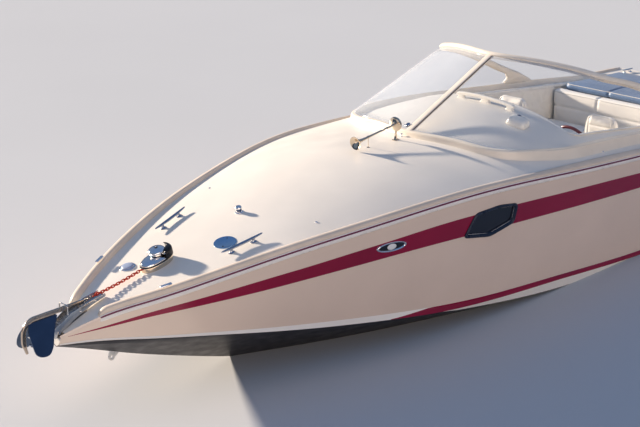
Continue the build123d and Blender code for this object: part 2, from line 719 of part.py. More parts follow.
with BuildPart() as bench:
    with BuildSketch(Plane.XY.offset(sole_z + 17)):
        with Locations((X((6480 + 7056) / 2), 0)):
            RectangleRounded(576, 1704, 30)
    extrude(amount=318)
done(bench.part, "bench_base")
with BuildPart() as bench_cushion:
    with BuildSketch(Plane.XY.offset(sole_z + 17 + 321)):
        with Locations((X(6766), 0)):
            RectangleRounded(560, 1696, 60)
    extrude(amount=118)
done(bench_cushion.part, "bench_cushion")
with BuildPart() as bench_back:
    with BuildSketch(Plane.XY.offset(berth_z + 24)):
        with Locations((X(7136), 0)):
            RectangleRounded(140, 1716, 40)
    extrude(amount=560)
done(bench_back.part, "bench_back")

# ---------------------------------------------------------------- engine hatch, lid falling slightly aft
lid_z0, lid_z1, lid_t = 925.0, 842.0, 36.0
hatch_hinge_s, hatch_hinge_z = 8474.0, 868.0
lid_dir = Vector(X(lid_s0) - X(lid_s1), 0, lid_z0 - lid_z1).normalized()
lid_len = (lid_s1 - lid_s0) / lid_dir.X
lid_plane = Plane(origin=(X(lid_s1), 0, lid_z1), x_dir=lid_dir, z_dir=lid_dir.cross(Vector(0, 1, 0)))
with BuildPart() as lid:
    with BuildSketch(lid_plane.offset(-lid_t)):
        with Locations((lid_len / 2, 0)):
            RectangleRounded(lid_len, 1750, 50)
    extrude(amount=lid_t)
    # hinge lugs on top of the aft edge, bored for the pins
    for y in (600, -600):
        with Locations((X(hatch_hinge_s - 15), y, hatch_hinge_z - 11)):
            Box(34, 50, 24)
        with Locations(Plane(origin=(X(hatch_hinge_s), y, hatch_hinge_z), x_dir=(1, 0, 0), z_dir=(0, 1, 0))):
            Cylinder(9, 50)
    for y in (600, -600):
        with Locations(Plane(origin=(X(hatch_hinge_s), y, hatch_hinge_z), x_dir=(1, 0, 0), z_dir=(0, 1, 0))):
            Cylinder(5, 60, mode=Mode.SUBTRACT)
done(lid.part, "engine_hatch")
with BuildPart() as hatch_hinges:
    for y in (600, -600):
        with Locations(Plane(origin=(X(hatch_hinge_s), y, hatch_hinge_z), x_dir=(1, 0, 0), z_dir=(0, 1, 0))):
            Cylinder(4.5, 104)
        for dy in (-41, 41):
            with Locations(Plane(origin=(X(hatch_hinge_s), y + dy, hatch_hinge_z), x_dir=(1, 0, 0), z_dir=(0, 1, 0))):
                Cylinder(9, 22)
            with Locations((X(hatch_hinge_s + 24), y + dy, hatch_hinge_z - 11)):
                Box(44, 22, 6)
done(hatch_hinges.part, "engine_hatch_hinges")
with BuildPart() as hatch_wall:
    for s in (7170, 7500, 7900, 8200, 8476):
        with BuildSketch(across(s)):
            with BuildLine():
                Polyline((900, 600), (918, 600), (918, deck_z(s, 918) - deck_t - 4), (900, deck_z(s, 900) - deck_t - 4), close=True)
            make_face()
    loft(ruled=True)
with BuildPart() as hatch_frame:
    add(hatch_wall.part)
    add(hatch_wall.part.mirror(Plane.XZ))
    with BuildSketch(across(8496)):
        zs = [(y, deck_z(8496, y) - deck_t - 6) for y in (918, 0, -918)]
        with BuildLine():
            Polyline((-918, zs[2][1]), (-918, 600), (918, 600), (918, zs[0][1]))
            ThreePointArc(*zs)
        make_face()
    extrude(amount=20)
done(hatch_frame.part, "engine_hatch_frame")
with BuildPart() as sunpad:
    with BuildSketch(lid_plane.offset(2)):
        with Locations((lid_len / 2 + 52, 0)):
            RectangleRounded(lid_len - 130, 1700, 70)
    extrude(amount=84)
done(sunpad.part, "sunpad")
with BuildPart() as engine:
    with Locations((X(7850), 0, 150)):
        Box(800, 620, 620)
done(engine.part, "engine")

# ---------------------------------------------------------------- stern
with BuildPart() as platform:
    with BuildSketch(Plane.XY.offset(396)):
        with Locations((X(9132), 0)):
            RectangleRounded(460, 2080, 60)
    extrude(amount=44)
    for y in (-640, 600):
        with BuildSketch(Plane(origin=(0, y, 0), x_dir=(1, 0, 0), z_dir=(0, -1, 0))):
            with BuildLine():
                Polyline((X(8903), 398), (X(8903), 190), (X(8925), 190), (X(9240), 380), (X(9240), 398), close=True)
            make_face()
        extrude(amount=-40)
done(platform.part, "swim_platform")


def eye_plate(y, s, z, r, hole, root):
    """a lug in the fore-and-aft plane with a round hole, on a foot given as s, z points"""
    with BuildPart() as e:
        with BuildSketch(Plane(origin=(0, y + 6, 0), x_dir=(1, 0, 0), z_dir=(0, -1, 0))):
            with Locations((X(s), z)):
                Circle(r)
            with BuildLine():
                Polyline(*along_xz(root), close=True)
            make_face()
            with Locations((X(s), z)):
                Circle(hole, mode=Mode.SUBTRACT)
        extrude(amount=12)
    return e.part


with BuildPart() as bow_eye:
    add(eye_plate(0, 478, 392, 28, 12, [(468, 366), (452, 402), (463, 445), (545, 410), (505, 385)]))
    add(hull.part, mode=Mode.SUBTRACT)
bow_eye_piece = bow_eye.part.solids().sort_by(SortBy.VOLUME)[-1]
done(Part() + bow_eye_piece, "bow_eye")
with BuildPart() as stern_eyes:
    for y in (780, -780):
        add(eye_plate(y, 8934, 250, 26, 11, [(8903, 215), (8903, 285), (8938, 275), (8938, 225)]))
        with Locations((X(8906), y, 250)):
            Box(6, 50, 90)
done(stern_eyes.part, "stern_eyes")

with BuildPart() as housing:
    with Locations((X(8922), 0, -90)):
        Box(40, 340, 480)
    with Locations((X(9000), 0, 137)):
        Box(150, 84, 24)
    with Locations((X(9000), 0, -277)):
        Box(150, 84, 24)
    for z0 in (102, -263):
        with Locations((X(drive_s), 0, z0 + 12)):
            Cylinder(12, 46)
done(housing.part, "gimbal_housing")

ring_y, ring_z0, ring_z1 = 110.0, -258.0, 118.0
with BuildPart() as ring:
    with Locations((X(drive_s), 0, (ring_z0 + ring_z1) / 2)):
        Box(40, 2 * ring_y, ring_z1 - ring_z0)
    with Locations((X(drive_s), 0, drive_z)):
        Box(60, 170, 204, mode=Mode.SUBTRACT)
    with Locations((X(drive_s), 0, ring_z1), (X(drive_s), 0, ring_z0)):
        Cylinder(12.6, 76, mode=Mode.SUBTRACT)
    with Locations(Plane(origin=(X(drive_s), 0, drive_z), x_dir=(1, 0, 0), z_dir=(0, 1, 0))):
        Cylinder(12.6, 300, mode=Mode.SUBTRACT)
    for y in (134, -134):
        with Locations(Plane(origin=(X(9050), y, -215), x_dir=(1, 0, 0), z_dir=(0, 1, 0))):
            Cylinder(9.5, 52)
done(ring.part, "gimbal_ring")

with BuildPart() as leg:
    with Locations((X(9112), 0, drive_z)):
        Box(205, 150, 100)
    with Locations((X(9325), 0, -65)):
        Box(230, 170, 170)
    with Locations(Plane(origin=(X(drive_s), 0, drive_z), x_dir=(1, 0, 0), z_dir=(0, 1, 0))):
        Cylinder(12, 212)
    with BuildSketch(Plane.XY.offset(-645)):
        with Locations((X(9335), 0)):
            Ellipse(98, 27)
    extrude(amount=510)
    with BuildSketch(Plane(origin=(X(9492), 0, prop_z), x_dir=(1, 0, 0), z_dir=(0, -1, 0))):
        with BuildLine():
            Polyline((0, 0), (0, 50), (60, 58), (230, 58), (300, 42), (346, 16), (352, 0), close=True)
        make_face()
    revolve(axis=Axis((X(9492), 0, prop_z), (1, 0, 0)))
    with BuildSketch(Plane.XY.offset(-396)):
        with Locations((X(9400), 0)):
            RectangleRounded(420, 240, 70)
    extrude(amount=10)
    with BuildSketch(Plane(origin=(0, 6, 0), x_dir=(1, 0, 0), z_dir=(0, -1, 0))):
        with BuildLine():
            Polyline((X(9250), -650), (X(9330), -838), (X(9440), -838), (X(9450), -650), close=True)
        make_face()
    extrude(amount=12)
    for y in (101, -101):
        with Locations(Plane(origin=(X(9330), y, -230), x_dir=(1, 0, 0), z_dir=(0, 1, 0))):
            Cylinder(22, 34)
    for y in (60, -60):
        with Locations((X(9330), y, -190)):
            Box(40, 50, 100)
done(leg.part, "drive_leg")

with BuildPart() as prop:
    with BuildSketch(Plane(origin=(X(9600), 0, prop_z), x_dir=(1, 0, 0), z_dir=(0, -1, 0))):
        with BuildLine():
            Polyline((0, 0), (0, 40), (70, 48), (104, 48), (104, 0), close=True)
        make_face()
    revolve(axis=Axis((X(9600), 0, prop_z), (1, 0, 0)))
blade_plane = Plane(origin=(X(9545), 0, prop_z), x_dir=(1, 0, 0), z_dir=(0, 0, 1))
with BuildPart() as blade:
    for r, chord, pitch in ((34, 64, 62), (90, 120, 48), (140, 128, 36), (prop_r, 40, 30)):
        with BuildSketch(blade_plane.offset(r)):
            Rectangle(chord, 8, rotation=pitch)
    loft(ruled=True)
with BuildPart() as propeller:
    add(prop.part)
    for i in range(3):
        add(blade.part.rotate(Axis((X(9545), 0, prop_z), (1, 0, 0)), 120 * i))
done(propeller.part, "propeller")

trim_a = Vector(X(9050), 0, -215)
trim_b = Vector(X(9330), 0, -230)
trim_dir = (trim_b - trim_a).normalized()
with BuildPart() as barrels:
    for y in (140, -140):
        a = trim_a + Vector(0, y, 0)
        with Locations(Plane(origin=a, x_dir=(1, 0, 0), z_dir=(0, 1, 0))):
            Cylinder(22, 32)
        with BuildSketch(Plane(origin=a + trim_dir * 12, x_dir=(0, 1, 0), z_dir=trim_dir)):
            Circle(23)
        extrude(amount=218)
    for y in (140, -140):
        a = trim_a + Vector(0, y, 0)
        with Locations(Plane(origin=a, x_dir=(1, 0, 0), z_dir=(0, 1, 0))):
            Cylinder(10, 60, mode=Mode.SUBTRACT)
        with BuildSketch(Plane(origin=a + trim_dir * 40, x_dir=(0, 1, 0), z_dir=trim_dir)):
            Circle(10.8)
        extrude(amount=300, mode=Mode.SUBTRACT)
done(barrels.part, "trim_barrels")
with BuildPart() as rods:
    for y in (140, -140):
        b = trim_b + Vector(0, y, 0)
        with Locations(Plane(origin=b, x_dir=(1, 0, 0), z_dir=(0, 1, 0))):
            Cylinder(20, 30)
        with BuildSketch(Plane(origin=b - trim_dir * 6, x_dir=(0, 1, 0), z_dir=trim_dir * -1)):
            Circle(10)
        extrude(amount=200)
done(rods.part, "trim_rods")

print("windlass axis", wl_plane.origin, wl_plane.z_dir)
print("lid hinge", X(lid_s1), lid_z1, "wheel axis", wheel_axis)
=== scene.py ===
import bpy
import bmesh
import math
from math import cos, sin, radians, pi, sqrt, hypot
from mathutils import Matrix, Vector
from mathutils.bvhtree import BVHTree
from mathutils.geometry import delaunay_2d_cdt


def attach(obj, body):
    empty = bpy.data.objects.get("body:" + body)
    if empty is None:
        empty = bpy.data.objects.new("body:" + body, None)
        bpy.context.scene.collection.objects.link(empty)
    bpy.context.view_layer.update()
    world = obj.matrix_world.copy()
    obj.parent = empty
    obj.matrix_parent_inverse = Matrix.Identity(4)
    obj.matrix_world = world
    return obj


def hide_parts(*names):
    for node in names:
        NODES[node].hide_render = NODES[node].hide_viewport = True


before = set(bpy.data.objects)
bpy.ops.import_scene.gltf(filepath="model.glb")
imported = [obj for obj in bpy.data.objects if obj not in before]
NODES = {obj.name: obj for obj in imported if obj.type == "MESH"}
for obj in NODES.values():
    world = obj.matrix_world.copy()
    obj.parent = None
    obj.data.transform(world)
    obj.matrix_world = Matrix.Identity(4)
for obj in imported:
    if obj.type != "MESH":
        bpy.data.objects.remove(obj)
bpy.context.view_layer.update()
scene = bpy.context.scene
BOAT = "boat"

# ------------------------------------------------------------------ camera
yaw, pitch, roll = 0.7687119, 0.3396443, -0.0087955
F = Vector((-cos(yaw) * cos(pitch), -sin(yaw) * cos(pitch), -sin(pitch)))
R = F.cross(Vector((0, 0, 1))).normalized()
U = R.cross(F)
R, U = R * cos(roll) + U * sin(roll), U * cos(roll) - R * sin(roll)
cam_data = bpy.data.cameras.new("camera")
cam_data.sensor_width = 36.0
cam_data.lens = 84.928
cam_data.clip_start, cam_data.clip_end = 0.1, 500.0
cam = bpy.data.objects.new("camera", cam_data)
cam.matrix_world = Matrix(((R.x, U.x, -F.x, 10.179751), (R.y, U.y, -F.y, 8.084918), (R.z, U.z, -F.z, 5.035312), (0, 0, 0, 1)))
scene.collection.objects.link(cam)
scene.camera = cam

# ------------------------------------------------------------------ the boat's lines, as in the CAD source (mm)
HULL = [
    (0, 636, 20, 646, 32, 658, 57, 704, 24),
    (300, 516, 112, 590, 134, 628, 196, 814, 26),
    (600, 388, 220, 540, 250, 581, 352, 881, 29),
    (1000, 232, 340, 474, 376, 516, 527, 958, 34),
    (1500, 52, 482, 392, 520, 436, 703, 1041, 66),
    (2300, -190, 712, 262, 752, 335, 933, 1126, 134),
    (3300, -375, 945, 150, 990, 238, 1135, 1179, 176),
    (3800, -417, 1017, 91, 1058, 203, 1191, 1161, 189),
    (4400, -440, 1070, 25, 1103, 160, 1232, 1114, 334),
    (5800, -460, 1115, -45, 1137, 35, 1256, 993, 300),
    (7300, -460, 1110, -60, 1130, -15, 1235, 868, 190),
    (8450, -453, 1093, -61, 1113, -20, 1207, 798, 66),
    (8900, -450, 1085, -60, 1105, -20, 1195, 775, 38),
]
COLUMNS = ["s", "keel_z", "chine_y", "chine_z", "knuckle_y", "knuckle_z", "sheer_y", "sheer_z", "crown"]


def fair(xs, ys):
    n = len(xs)
    h = [xs[i + 1] - xs[i] for i in range(n - 1)]
    c, d, m = [1.0] * n, [0.0] * n, [0.0] * n
    for i in range(1, n - 1):
        w = h[i - 1] / c[i - 1] if i > 1 else 0.0
        c[i] = 2 * (h[i - 1] + h[i]) - w * (h[i - 1] if i > 1 else 0.0)
        d[i] = 6 * ((ys[i + 1] - ys[i]) / h[i] - (ys[i] - ys[i - 1]) / h[i - 1]) - w * (d[i - 1] if i > 1 else 0.0)
    for i in range(n - 2, 0, -1):
        m[i] = (d[i] - h[i] * m[i + 1]) / c[i]

    def f(x):
        i = max(0, min(n - 2, sum(1 for v in xs[1:-1] if x > v)))
        t, u = xs[i + 1] - x, x - xs[i]
        return (m[i] * t**3 + m[i + 1] * u**3) / (6 * h[i]) + (ys[i] / h[i] - m[i] * h[i] / 6) * t + (
            ys[i + 1] / h[i] - m[i + 1] * h[i] / 6
        ) * u

    return f


def line(xs, ys):
    """straight runs through a table"""

    def f(x):
        if x <= xs[0]:
            return ys[0]
        for i in range(len(xs) - 1):
            if x <= xs[i + 1]:
                k = (x - xs[i]) / (xs[i + 1] - xs[i])
                return ys[i] + k * (ys[i + 1] - ys[i])
        return ys[-1]

    return f


CURVE = {name: fair([r[0] for r in HULL], [r[k] for r in HULL]) for k, name in enumerate(COLUMNS)}


def at(name, s):
    return CURVE[name](s * 1000.0) / 1000.0


def X(s):
    return 4.5 - s


def deck_z(s, y):
    hw, ze, zc = at("sheer_y", s) - 0.004, at("sheer_z", s) + 0.023, at("sheer_z", s) + at("crown", s)
    rise = max(zc - ze, 0.0005)
    r = (hw * hw + rise * rise) / (2 * rise)
    return zc - r + sqrt(max(r * r - y * y, 1e-9))


def deck_normal(s, y):
    e = 0.01
    dx = Vector((2 * e, 0, deck_z(s - e, y) - deck_z(s + e, y)))
    dy = Vector((0, 2 * e, deck_z(s, y + e) - deck_z(s, y - e)))
    return dx.cross(dy).normalized()


def on_deck(s, y, lift=0.0):
    return Vector((X(s), y, deck_z(s, y))) + deck_normal(s, y) * lift


def deck_frame(s, y, lift=0.0, turn=0.0):
    """local x forward (turned towards port), y to port, z off the deck"""
    n = deck_normal(s, y)
    fwd = Vector((1, 0, 0))
    fwd = (fwd - n * fwd.dot(n)).normalized()
    side = n.cross(fwd)
    f2 = fwd * cos(radians(turn)) + side * sin(radians(turn))
    return basis(on_deck(s, y, lift), f2, n.cross(f2), n)


def basis(o, x, y, z):
    return Matrix(((x.x, y.x, z.x, o.x), (x.y, y.y, z.y, o.y), (x.z, y.z, z.z, o.z), (0, 0, 0, 1)))


# ------------------------------------------------------------------ materials
MATS = {}


def material(
    name, color, rough=0.4, metal=0.0, vary=0.05, vary_scale=5.0, rough_vary=0.06, rough_scale=9.0, bump=0.0, bump_scale=400.0,
    kind="noise", depth=0.001, coat=0.0, coat_rough=0.04, sheen=0.0, spec=0.5, tint=None, wave=None, dirt=None, stretch=None,
):
    """procedural finish: a base colour that drifts between two near tones, a roughness that drifts, and a fine surface bump"""
    m = bpy.data.materials.new(name)
    m.use_nodes = True
    nt = m.node_tree
    nt.nodes.clear()
    out = nt.nodes.new("ShaderNodeOutputMaterial")
    p = nt.nodes.new("ShaderNodeBsdfPrincipled")
    nt.links.new(p.outputs[0], out.inputs[0])
    tc = nt.nodes.new("ShaderNodeTexCoord")
    co = tc.outputs["Object"]
    if stretch:
        mp = nt.nodes.new("ShaderNodeMapping")
        mp.inputs["Scale"].default_value = stretch
        nt.links.new(co, mp.inputs["Vector"])
        co = mp.outputs[0]
    n1 = nt.nodes.new("ShaderNodeTexNoise")
    n1.inputs["Scale"].default_value = vary_scale
    n1.inputs["Detail"].default_value = 4.0
    nt.links.new(co, n1.inputs["Vector"])
    ramp = nt.nodes.new("ShaderNodeValToRGB")
    c = Vector(color[:3])
    lo = Vector(tint) if tint else c * (1 - vary)
    hi = Vector([min(1.0, v * (1 + vary * 0.6)) for v in c])
    ramp.color_ramp.elements[0].position, ramp.color_ramp.elements[0].color = 0.3, (*lo, 1)
    ramp.color_ramp.elements[1].position, ramp.color_ramp.elements[1].color = 0.7, (*hi, 1)
    nt.links.new(n1.outputs["Fac"], ramp.inputs[0])
    colour = ramp.outputs[0]
    if dirt:
        # dirt = (colour, low z, high z, amount): a stain that fades upwards from the waterline
        sep = nt.nodes.new("ShaderNodeSeparateXYZ")
        nt.links.new(tc.outputs["Object"], sep.inputs[0])
        nd = nt.nodes.new("ShaderNodeTexNoise")
        nd.inputs["Scale"].default_value = 3.0
        nt.links.new(tc.outputs["Object"], nd.inputs["Vector"])
        ma = nt.nodes.new("ShaderNodeMath")
        ma.operation = "MULTIPLY_ADD"
        ma.inputs[1].default_value = 0.06
        nt.links.new(nd.outputs["Fac"], ma.inputs[0])
        nt.links.new(sep.outputs["Z"], ma.inputs[2])
        mr = nt.nodes.new("ShaderNodeMapRange")
        mr.inputs["From Min"].default_value, mr.inputs["From Max"].default_value = dirt[1], dirt[2]
        mr.inputs["To Min"].default_value, mr.inputs["To Max"].default_value = dirt[3], 0.0
        nt.links.new(ma.outputs[0], mr.inputs["Value"])
        mx = nt.nodes.new("ShaderNodeMix")
        mx.data_type = "RGBA"
        nt.links.new(mr.outputs[0], mx.inputs["Factor"])
        nt.links.new(colour, mx.inputs[6])
        mx.inputs[7].default_value = (*dirt[0], 1)
        colour = mx.outputs[2]
    nt.links.new(colour, p.inputs["Base Color"])
    n2 = nt.nodes.new("ShaderNodeTexNoise")
    n2.inputs["Scale"].default_value = rough_scale
    n2.inputs["Detail"].default_value = 5.0
    nt.links.new(co, n2.inputs["Vector"])
    r = nt.nodes.new("ShaderNodeMapRange")
    r.inputs["From Min"].default_value, r.inputs["From Max"].default_value = 0.3, 0.7
    r.inputs["To Min"].default_value, r.inputs["To Max"].default_value = max(0.02, rough - rough_vary), rough + rough_vary
    nt.links.new(n2.outputs["Fac"], r.inputs["Value"])
    nt.links.new(r.outputs[0], p.inputs["Roughness"])
    if bump:
        if kind == "voronoi":
            b = nt.nodes.new("ShaderNodeTexVoronoi")
            b.feature = "SMOOTH_F1"
            height = b.outputs["Distance"]
        elif kind == "wave":
            b = nt.nodes.new("ShaderNodeTexWave")
            height = b.outputs["Fac"]
            b.bands_direction = wave or "X"
            b.inputs["Distortion"].default_value = 0.4
        else:
            b = nt.nodes.new("ShaderNodeTexNoise")
            b.inputs["Detail"].default_value = 3.0
            height = b.outputs["Fac"]
        b.inputs["Scale"].default_value = bump_scale
        nt.links.new(co, b.inputs["Vector"])
        bu = nt.nodes.new("ShaderNodeBump")
        bu.inputs["Strength"].default_value = bump
        bu.inputs["Distance"].default_value = depth
        nt.links.new(height, bu.inputs["Height"])
        nt.links.new(bu.outputs[0], p.inputs["Normal"])
    p.inputs["Metallic"].default_value = metal
    p.inputs["Coat Weight"].default_value = coat
    p.inputs["Coat Roughness"].default_value = coat_rough
    p.inputs["Sheen Weight"].default_value = sheen
    p.inputs["Specular IOR Level"].default_value = spec
    MATS[name] = m
    return m


def glass(name, tint, gloss_rough=0.03, haze=0.0, veil=(0.80, 0.84, 0.90)):
    """a clear pane: what is behind shows through, tinted, with a mirror by angle and a faint haze of use"""
    m = bpy.data.materials.new(name)
    m.use_nodes = True
    nt = m.node_tree
    nt.nodes.clear()
    out = nt.nodes.new("ShaderNodeOutputMaterial")
    tr = nt.nodes.new("ShaderNodeBsdfTransparent")
    tr.inputs["Color"].default_value = (*tint, 1)
    p = nt.nodes.new("ShaderNodeBsdfPrincipled")
    p.inputs["Base Color"].default_value = (*veil, 1)
    p.inputs["Roughness"].default_value = gloss_rough
    lw = nt.nodes.new("ShaderNodeLayerWeight")
    lw.inputs["Blend"].default_value = 0.5
    pw = nt.nodes.new("ShaderNodeMath")
    pw.operation = "POWER"
    pw.inputs[1].default_value = 5.0
    nt.links.new(lw.outputs["Facing"], pw.inputs[0])
    tc = nt.nodes.new("ShaderNodeTexCoord")
    no = nt.nodes.new("ShaderNodeTexNoise")
    no.inputs["Scale"].default_value = 2.2
    no.inputs["Detail"].default_value = 6.0
    nt.links.new(tc.outputs["Object"], no.inputs["Vector"])
    mr = nt.nodes.new("ShaderNodeMapRange")
    mr.inputs["From Min"].default_value, mr.inputs["From Max"].default_value = 0.35, 0.75
    mr.inputs["To Min"].default_value, mr.inputs["To Max"].default_value = haze * 0.5 + 0.02, haze + 0.03
    nt.links.new(no.outputs["Fac"], mr.inputs["Value"])
    ad = nt.nodes.new("ShaderNodeMath")
    ad.operation = "MULTIPLY_ADD"
    ad.use_clamp = True
    ad.inputs[1].default_value = 0.8
    nt.links.new(pw.outputs[0], ad.inputs[0])
    nt.links.new(mr.outputs[0], ad.inputs[2])
    mx = nt.nodes.new("ShaderNodeMixShader")
    nt.links.new(ad.outputs[0], mx.inputs[0])
    nt.links.new(tr.outputs[0], mx.inputs[1])
    nt.links.new(p.outputs[0], mx.inputs[2])
    nt.links.new(mx.outputs[0], out.inputs[0])
    MATS[name] = m
    return m



gelcoat = material("gelcoat", (0.80, 0.665, 0.565), 0.20, vary=0.035, vary_scale=1.6, rough_vary=0.05, bump=0.05, bump_scale=9.0, depth=0.002, coat=0.5, coat_rough=0.06, dirt=((0.36, 0.31, 0.22), 0.02, 0.10, 0.5))
# whiter gelcoat for the lip and the band under the boot stripe: partly the hull's own white, partly painted highlight
# that brightens the lip's up-facing face
gel_white = material("gelcoat_white", (0.90, 0.87, 0.82), 0.22, vary=0.03, vary_scale=2.0, rough_vary=0.05, bump=0.05, bump_scale=10.0, depth=0.002, coat=0.5, coat_rough=0.06)
# painted shade: the hull bottom's near-black colour stands for the shade under the hull and the dark water it reflects
bottom_painted_shade = material("bottom_painted_shade", (0.042, 0.043, 0.052), 0.42, vary=0.10, vary_scale=2.5, rough_vary=0.10, bump=0.15, bump_scale=120.0, depth=0.0006, dirt=((0.16, 0.17, 0.12), -0.06, 0.05, 0.6))
burgundy = material("burgundy", (0.300, 0.0075, 0.052), 0.22, vary=0.10, vary_scale=2.0, rough_vary=0.05, bump=0.04, bump_scale=10.0, depth=0.002, coat=0.4, coat_rough=0.08)
plum = material("plum_insert", (0.165, 0.020, 0.070), 0.38, vary=0.10, vary_scale=9.0, bump=0.1, bump_scale=300.0, depth=0.0004)
deck_gel = material("deck_gelcoat", (0.875, 0.830, 0.760), 0.40, vary=0.035, vary_scale=2.4, rough_vary=0.08, rough_scale=5.0, bump=0.28, bump_scale=420.0, kind="voronoi", depth=0.0009, coat=0.06, coat_rough=0.25)
deck_smooth = material("deck_smooth", (0.90, 0.86, 0.785), 0.28, vary=0.03, vary_scale=3.0, rough_vary=0.06, bump=0.02, bump_scale=20.0, depth=0.0006, coat=0.25, coat_rough=0.10)
rail_tan = material("rail_moulding", (0.74, 0.64, 0.54), 0.42, vary=0.06, vary_scale=6.0, rough_vary=0.08, bump=0.10, bump_scale=160.0, depth=0.0005)
rail_white = material("rail_band", (0.84, 0.80, 0.76), 0.30, vary=0.05, vary_scale=8.0, rough_vary=0.06, bump=0.06, bump_scale=120.0, depth=0.0005)
frame_cream = material("screen_frame", (0.85, 0.78, 0.68), 0.34, vary=0.05, vary_scale=5.0, rough_vary=0.07, bump=0.08, bump_scale=60.0, depth=0.0008, coat=0.15, coat_rough=0.15)
frame_trim = material("screen_trim", (0.80, 0.70, 0.57), 0.38, vary=0.06, vary_scale=9.0, bump=0.08, bump_scale=140.0, depth=0.0005)
gasket = material("gasket", (0.16, 0.13, 0.12), 0.6, vary=0.2, vary_scale=20.0, bump=0.1, bump_scale=300.0, depth=0.0004)
screen_glass = glass("screen_glass", (0.985, 0.99, 0.995), 0.05, 0.012)
screen_glass_hazy = glass("screen_glass_hazed", (0.97, 0.98, 0.99), 0.08, 0.12)
navy = material("navy_frame", (0.018, 0.030, 0.060), 0.28, vary=0.15, vary_scale=14.0, rough_vary=0.08, bump=0.08, bump_scale=250.0, depth=0.0005, coat=0.2)
dark_pane = material("dark_pane", (0.006, 0.009, 0.018), 0.06, vary=0.2, vary_scale=4.0, rough_vary=0.02, bump=0.02, bump_scale=6.0, depth=0.002, coat=1.0, coat_rough=0.02)
chrome = material("chrome", (0.82, 0.83, 0.86), 0.06, 1.0, vary=0.04, vary_scale=30.0, rough_vary=0.03, rough_scale=60.0, bump=0.03, bump_scale=60.0, depth=0.0006)
chrome_dark = material("chrome_shaded", (0.42, 0.46, 0.54), 0.07, 1.0, vary=0.05, vary_scale=30.0, rough_vary=0.03, rough_scale=60.0, bump=0.03, bump_scale=60.0, depth=0.0006)
# painted reflection: a warm-tinted copy of the chrome, its gold tint standing for the sunlit deck and low sun mirrored
# in it
chrome_painted_warm_reflection = material("chrome_painted_warm_reflection", (0.70, 0.61, 0.50), 0.07, 1.0, vary=0.06, vary_scale=30.0, rough_vary=0.03, rough_scale=60.0, bump=0.03, bump_scale=60.0, depth=0.0006)
steel = material("stainless", (0.66, 0.65, 0.64), 0.17, 1.0, vary=0.08, vary_scale=20.0, rough_vary=0.07, rough_scale=45.0, bump=0.05, bump_scale=180.0, depth=0.0005)
# painted reflection: a warm-tinted copy of the stainless, its brown tint standing for the surroundings mirrored in the
# polished shank
steel_painted_warm_reflection = material("stainless_painted_warm_reflection", (0.62, 0.52, 0.43), 0.20, 1.0, vary=0.12, vary_scale=18.0, rough_vary=0.08, rough_scale=40.0, bump=0.06, bump_scale=160.0, depth=0.0005)
steel_dark = material("stainless_shaded", (0.085, 0.125, 0.200), 0.16, 0.9, vary=0.10, vary_scale=8.0, rough_vary=0.06, rough_scale=30.0, bump=0.04, bump_scale=120.0, depth=0.0005)
# painted reflection: the steel cover's blue colour stands for the sky mirrored in the polished plate
plate_painted_sky_reflection = material("cover_steel_painted_sky_reflection", (0.40, 0.58, 0.78), 0.12, 1.0, vary=0.08, vary_scale=12.0, rough_vary=0.05, rough_scale=40.0, bump=0.03, bump_scale=120.0, depth=0.0004)
pad_grey = material("switch_pad", (0.36, 0.43, 0.58), 0.34, vary=0.10, vary_scale=30.0, rough_vary=0.06, bump=0.15, bump_scale=500.0, depth=0.0004)
galvanised = material("bare_chain", (0.50, 0.46, 0.42), 0.34, 0.9, vary=0.25, vary_scale=90.0, rough_vary=0.12, bump=0.2, bump_scale=500.0, depth=0.0004)
chain_red = material("chain_red", (0.50, 0.055, 0.030), 0.45, vary=0.35, vary_scale=110.0, rough_vary=0.12, bump=0.2, bump_scale=500.0, depth=0.0004)
black_rubber = material("black_rubber", (0.022, 0.022, 0.024), 0.62, vary=0.25, vary_scale=40.0, bump=0.2, bump_scale=600.0, depth=0.0004)
roller_rubber = material("roller_rubber", (0.10, 0.075, 0.075), 0.5, vary=0.25, vary_scale=40.0, bump=0.2, bump_scale=500.0, depth=0.0004)
black_gloss = material("black_plastic", (0.020, 0.021, 0.025), 0.30, vary=0.2, vary_scale=30.0, bump=0.15, bump_scale=700.0, depth=0.0004)
lens_white = material("lens_white", (0.80, 0.82, 0.84), 0.12, vary=0.05, vary_scale=40.0, bump=0.3, bump_scale=260.0, kind="voronoi", depth=0.001, coat=0.8)
lens_blue = material("lens_blue", (0.02, 0.05, 0.14), 0.08, vary=0.2, vary_scale=20.0, coat=1.0, coat_rough=0.03)
vinyl_white = material("vinyl_white", (0.86, 0.83, 0.78), 0.42, vary=0.04, vary_scale=6.0, rough_vary=0.06, bump=0.22, bump_scale=900.0, kind="voronoi", depth=0.0005, sheen=0.1)
vinyl_blue = material("vinyl_blue", (0.125, 0.205, 0.345), 0.42, vary=0.12, vary_scale=4.0, rough_vary=0.06, bump=0.22, bump_scale=900.0, kind="voronoi", depth=0.0005, sheen=0.1)
vinyl_piping = material("vinyl_piping", (0.70, 0.68, 0.64), 0.45, vary=0.06, vary_scale=30.0, bump=0.15, bump_scale=900.0, depth=0.0003)
carpet = material("sole_carpet", (0.20, 0.20, 0.215), 0.92, vary=0.25, vary_scale=160.0, bump=0.9, bump_scale=700.0, depth=0.003, sheen=0.4)
wheel_leather = material("wheel_leather", (0.155, 0.020, 0.026), 0.34, vary=0.15, vary_scale=30.0, rough_vary=0.08, bump=0.25, bump_scale=1100.0, kind="voronoi", depth=0.0004, coat=0.2)
aluminium = material("aluminium", (0.70, 0.71, 0.73), 0.30, 1.0, vary=0.05, vary_scale=25.0, rough_vary=0.08, bump=0.06, bump_scale=220.0, depth=0.0004)
cast_grey = material("cast_grey", (0.25, 0.27, 0.29), 0.5, vary=0.12, vary_scale=15.0, bump=0.3, bump_scale=180.0, depth=0.001)
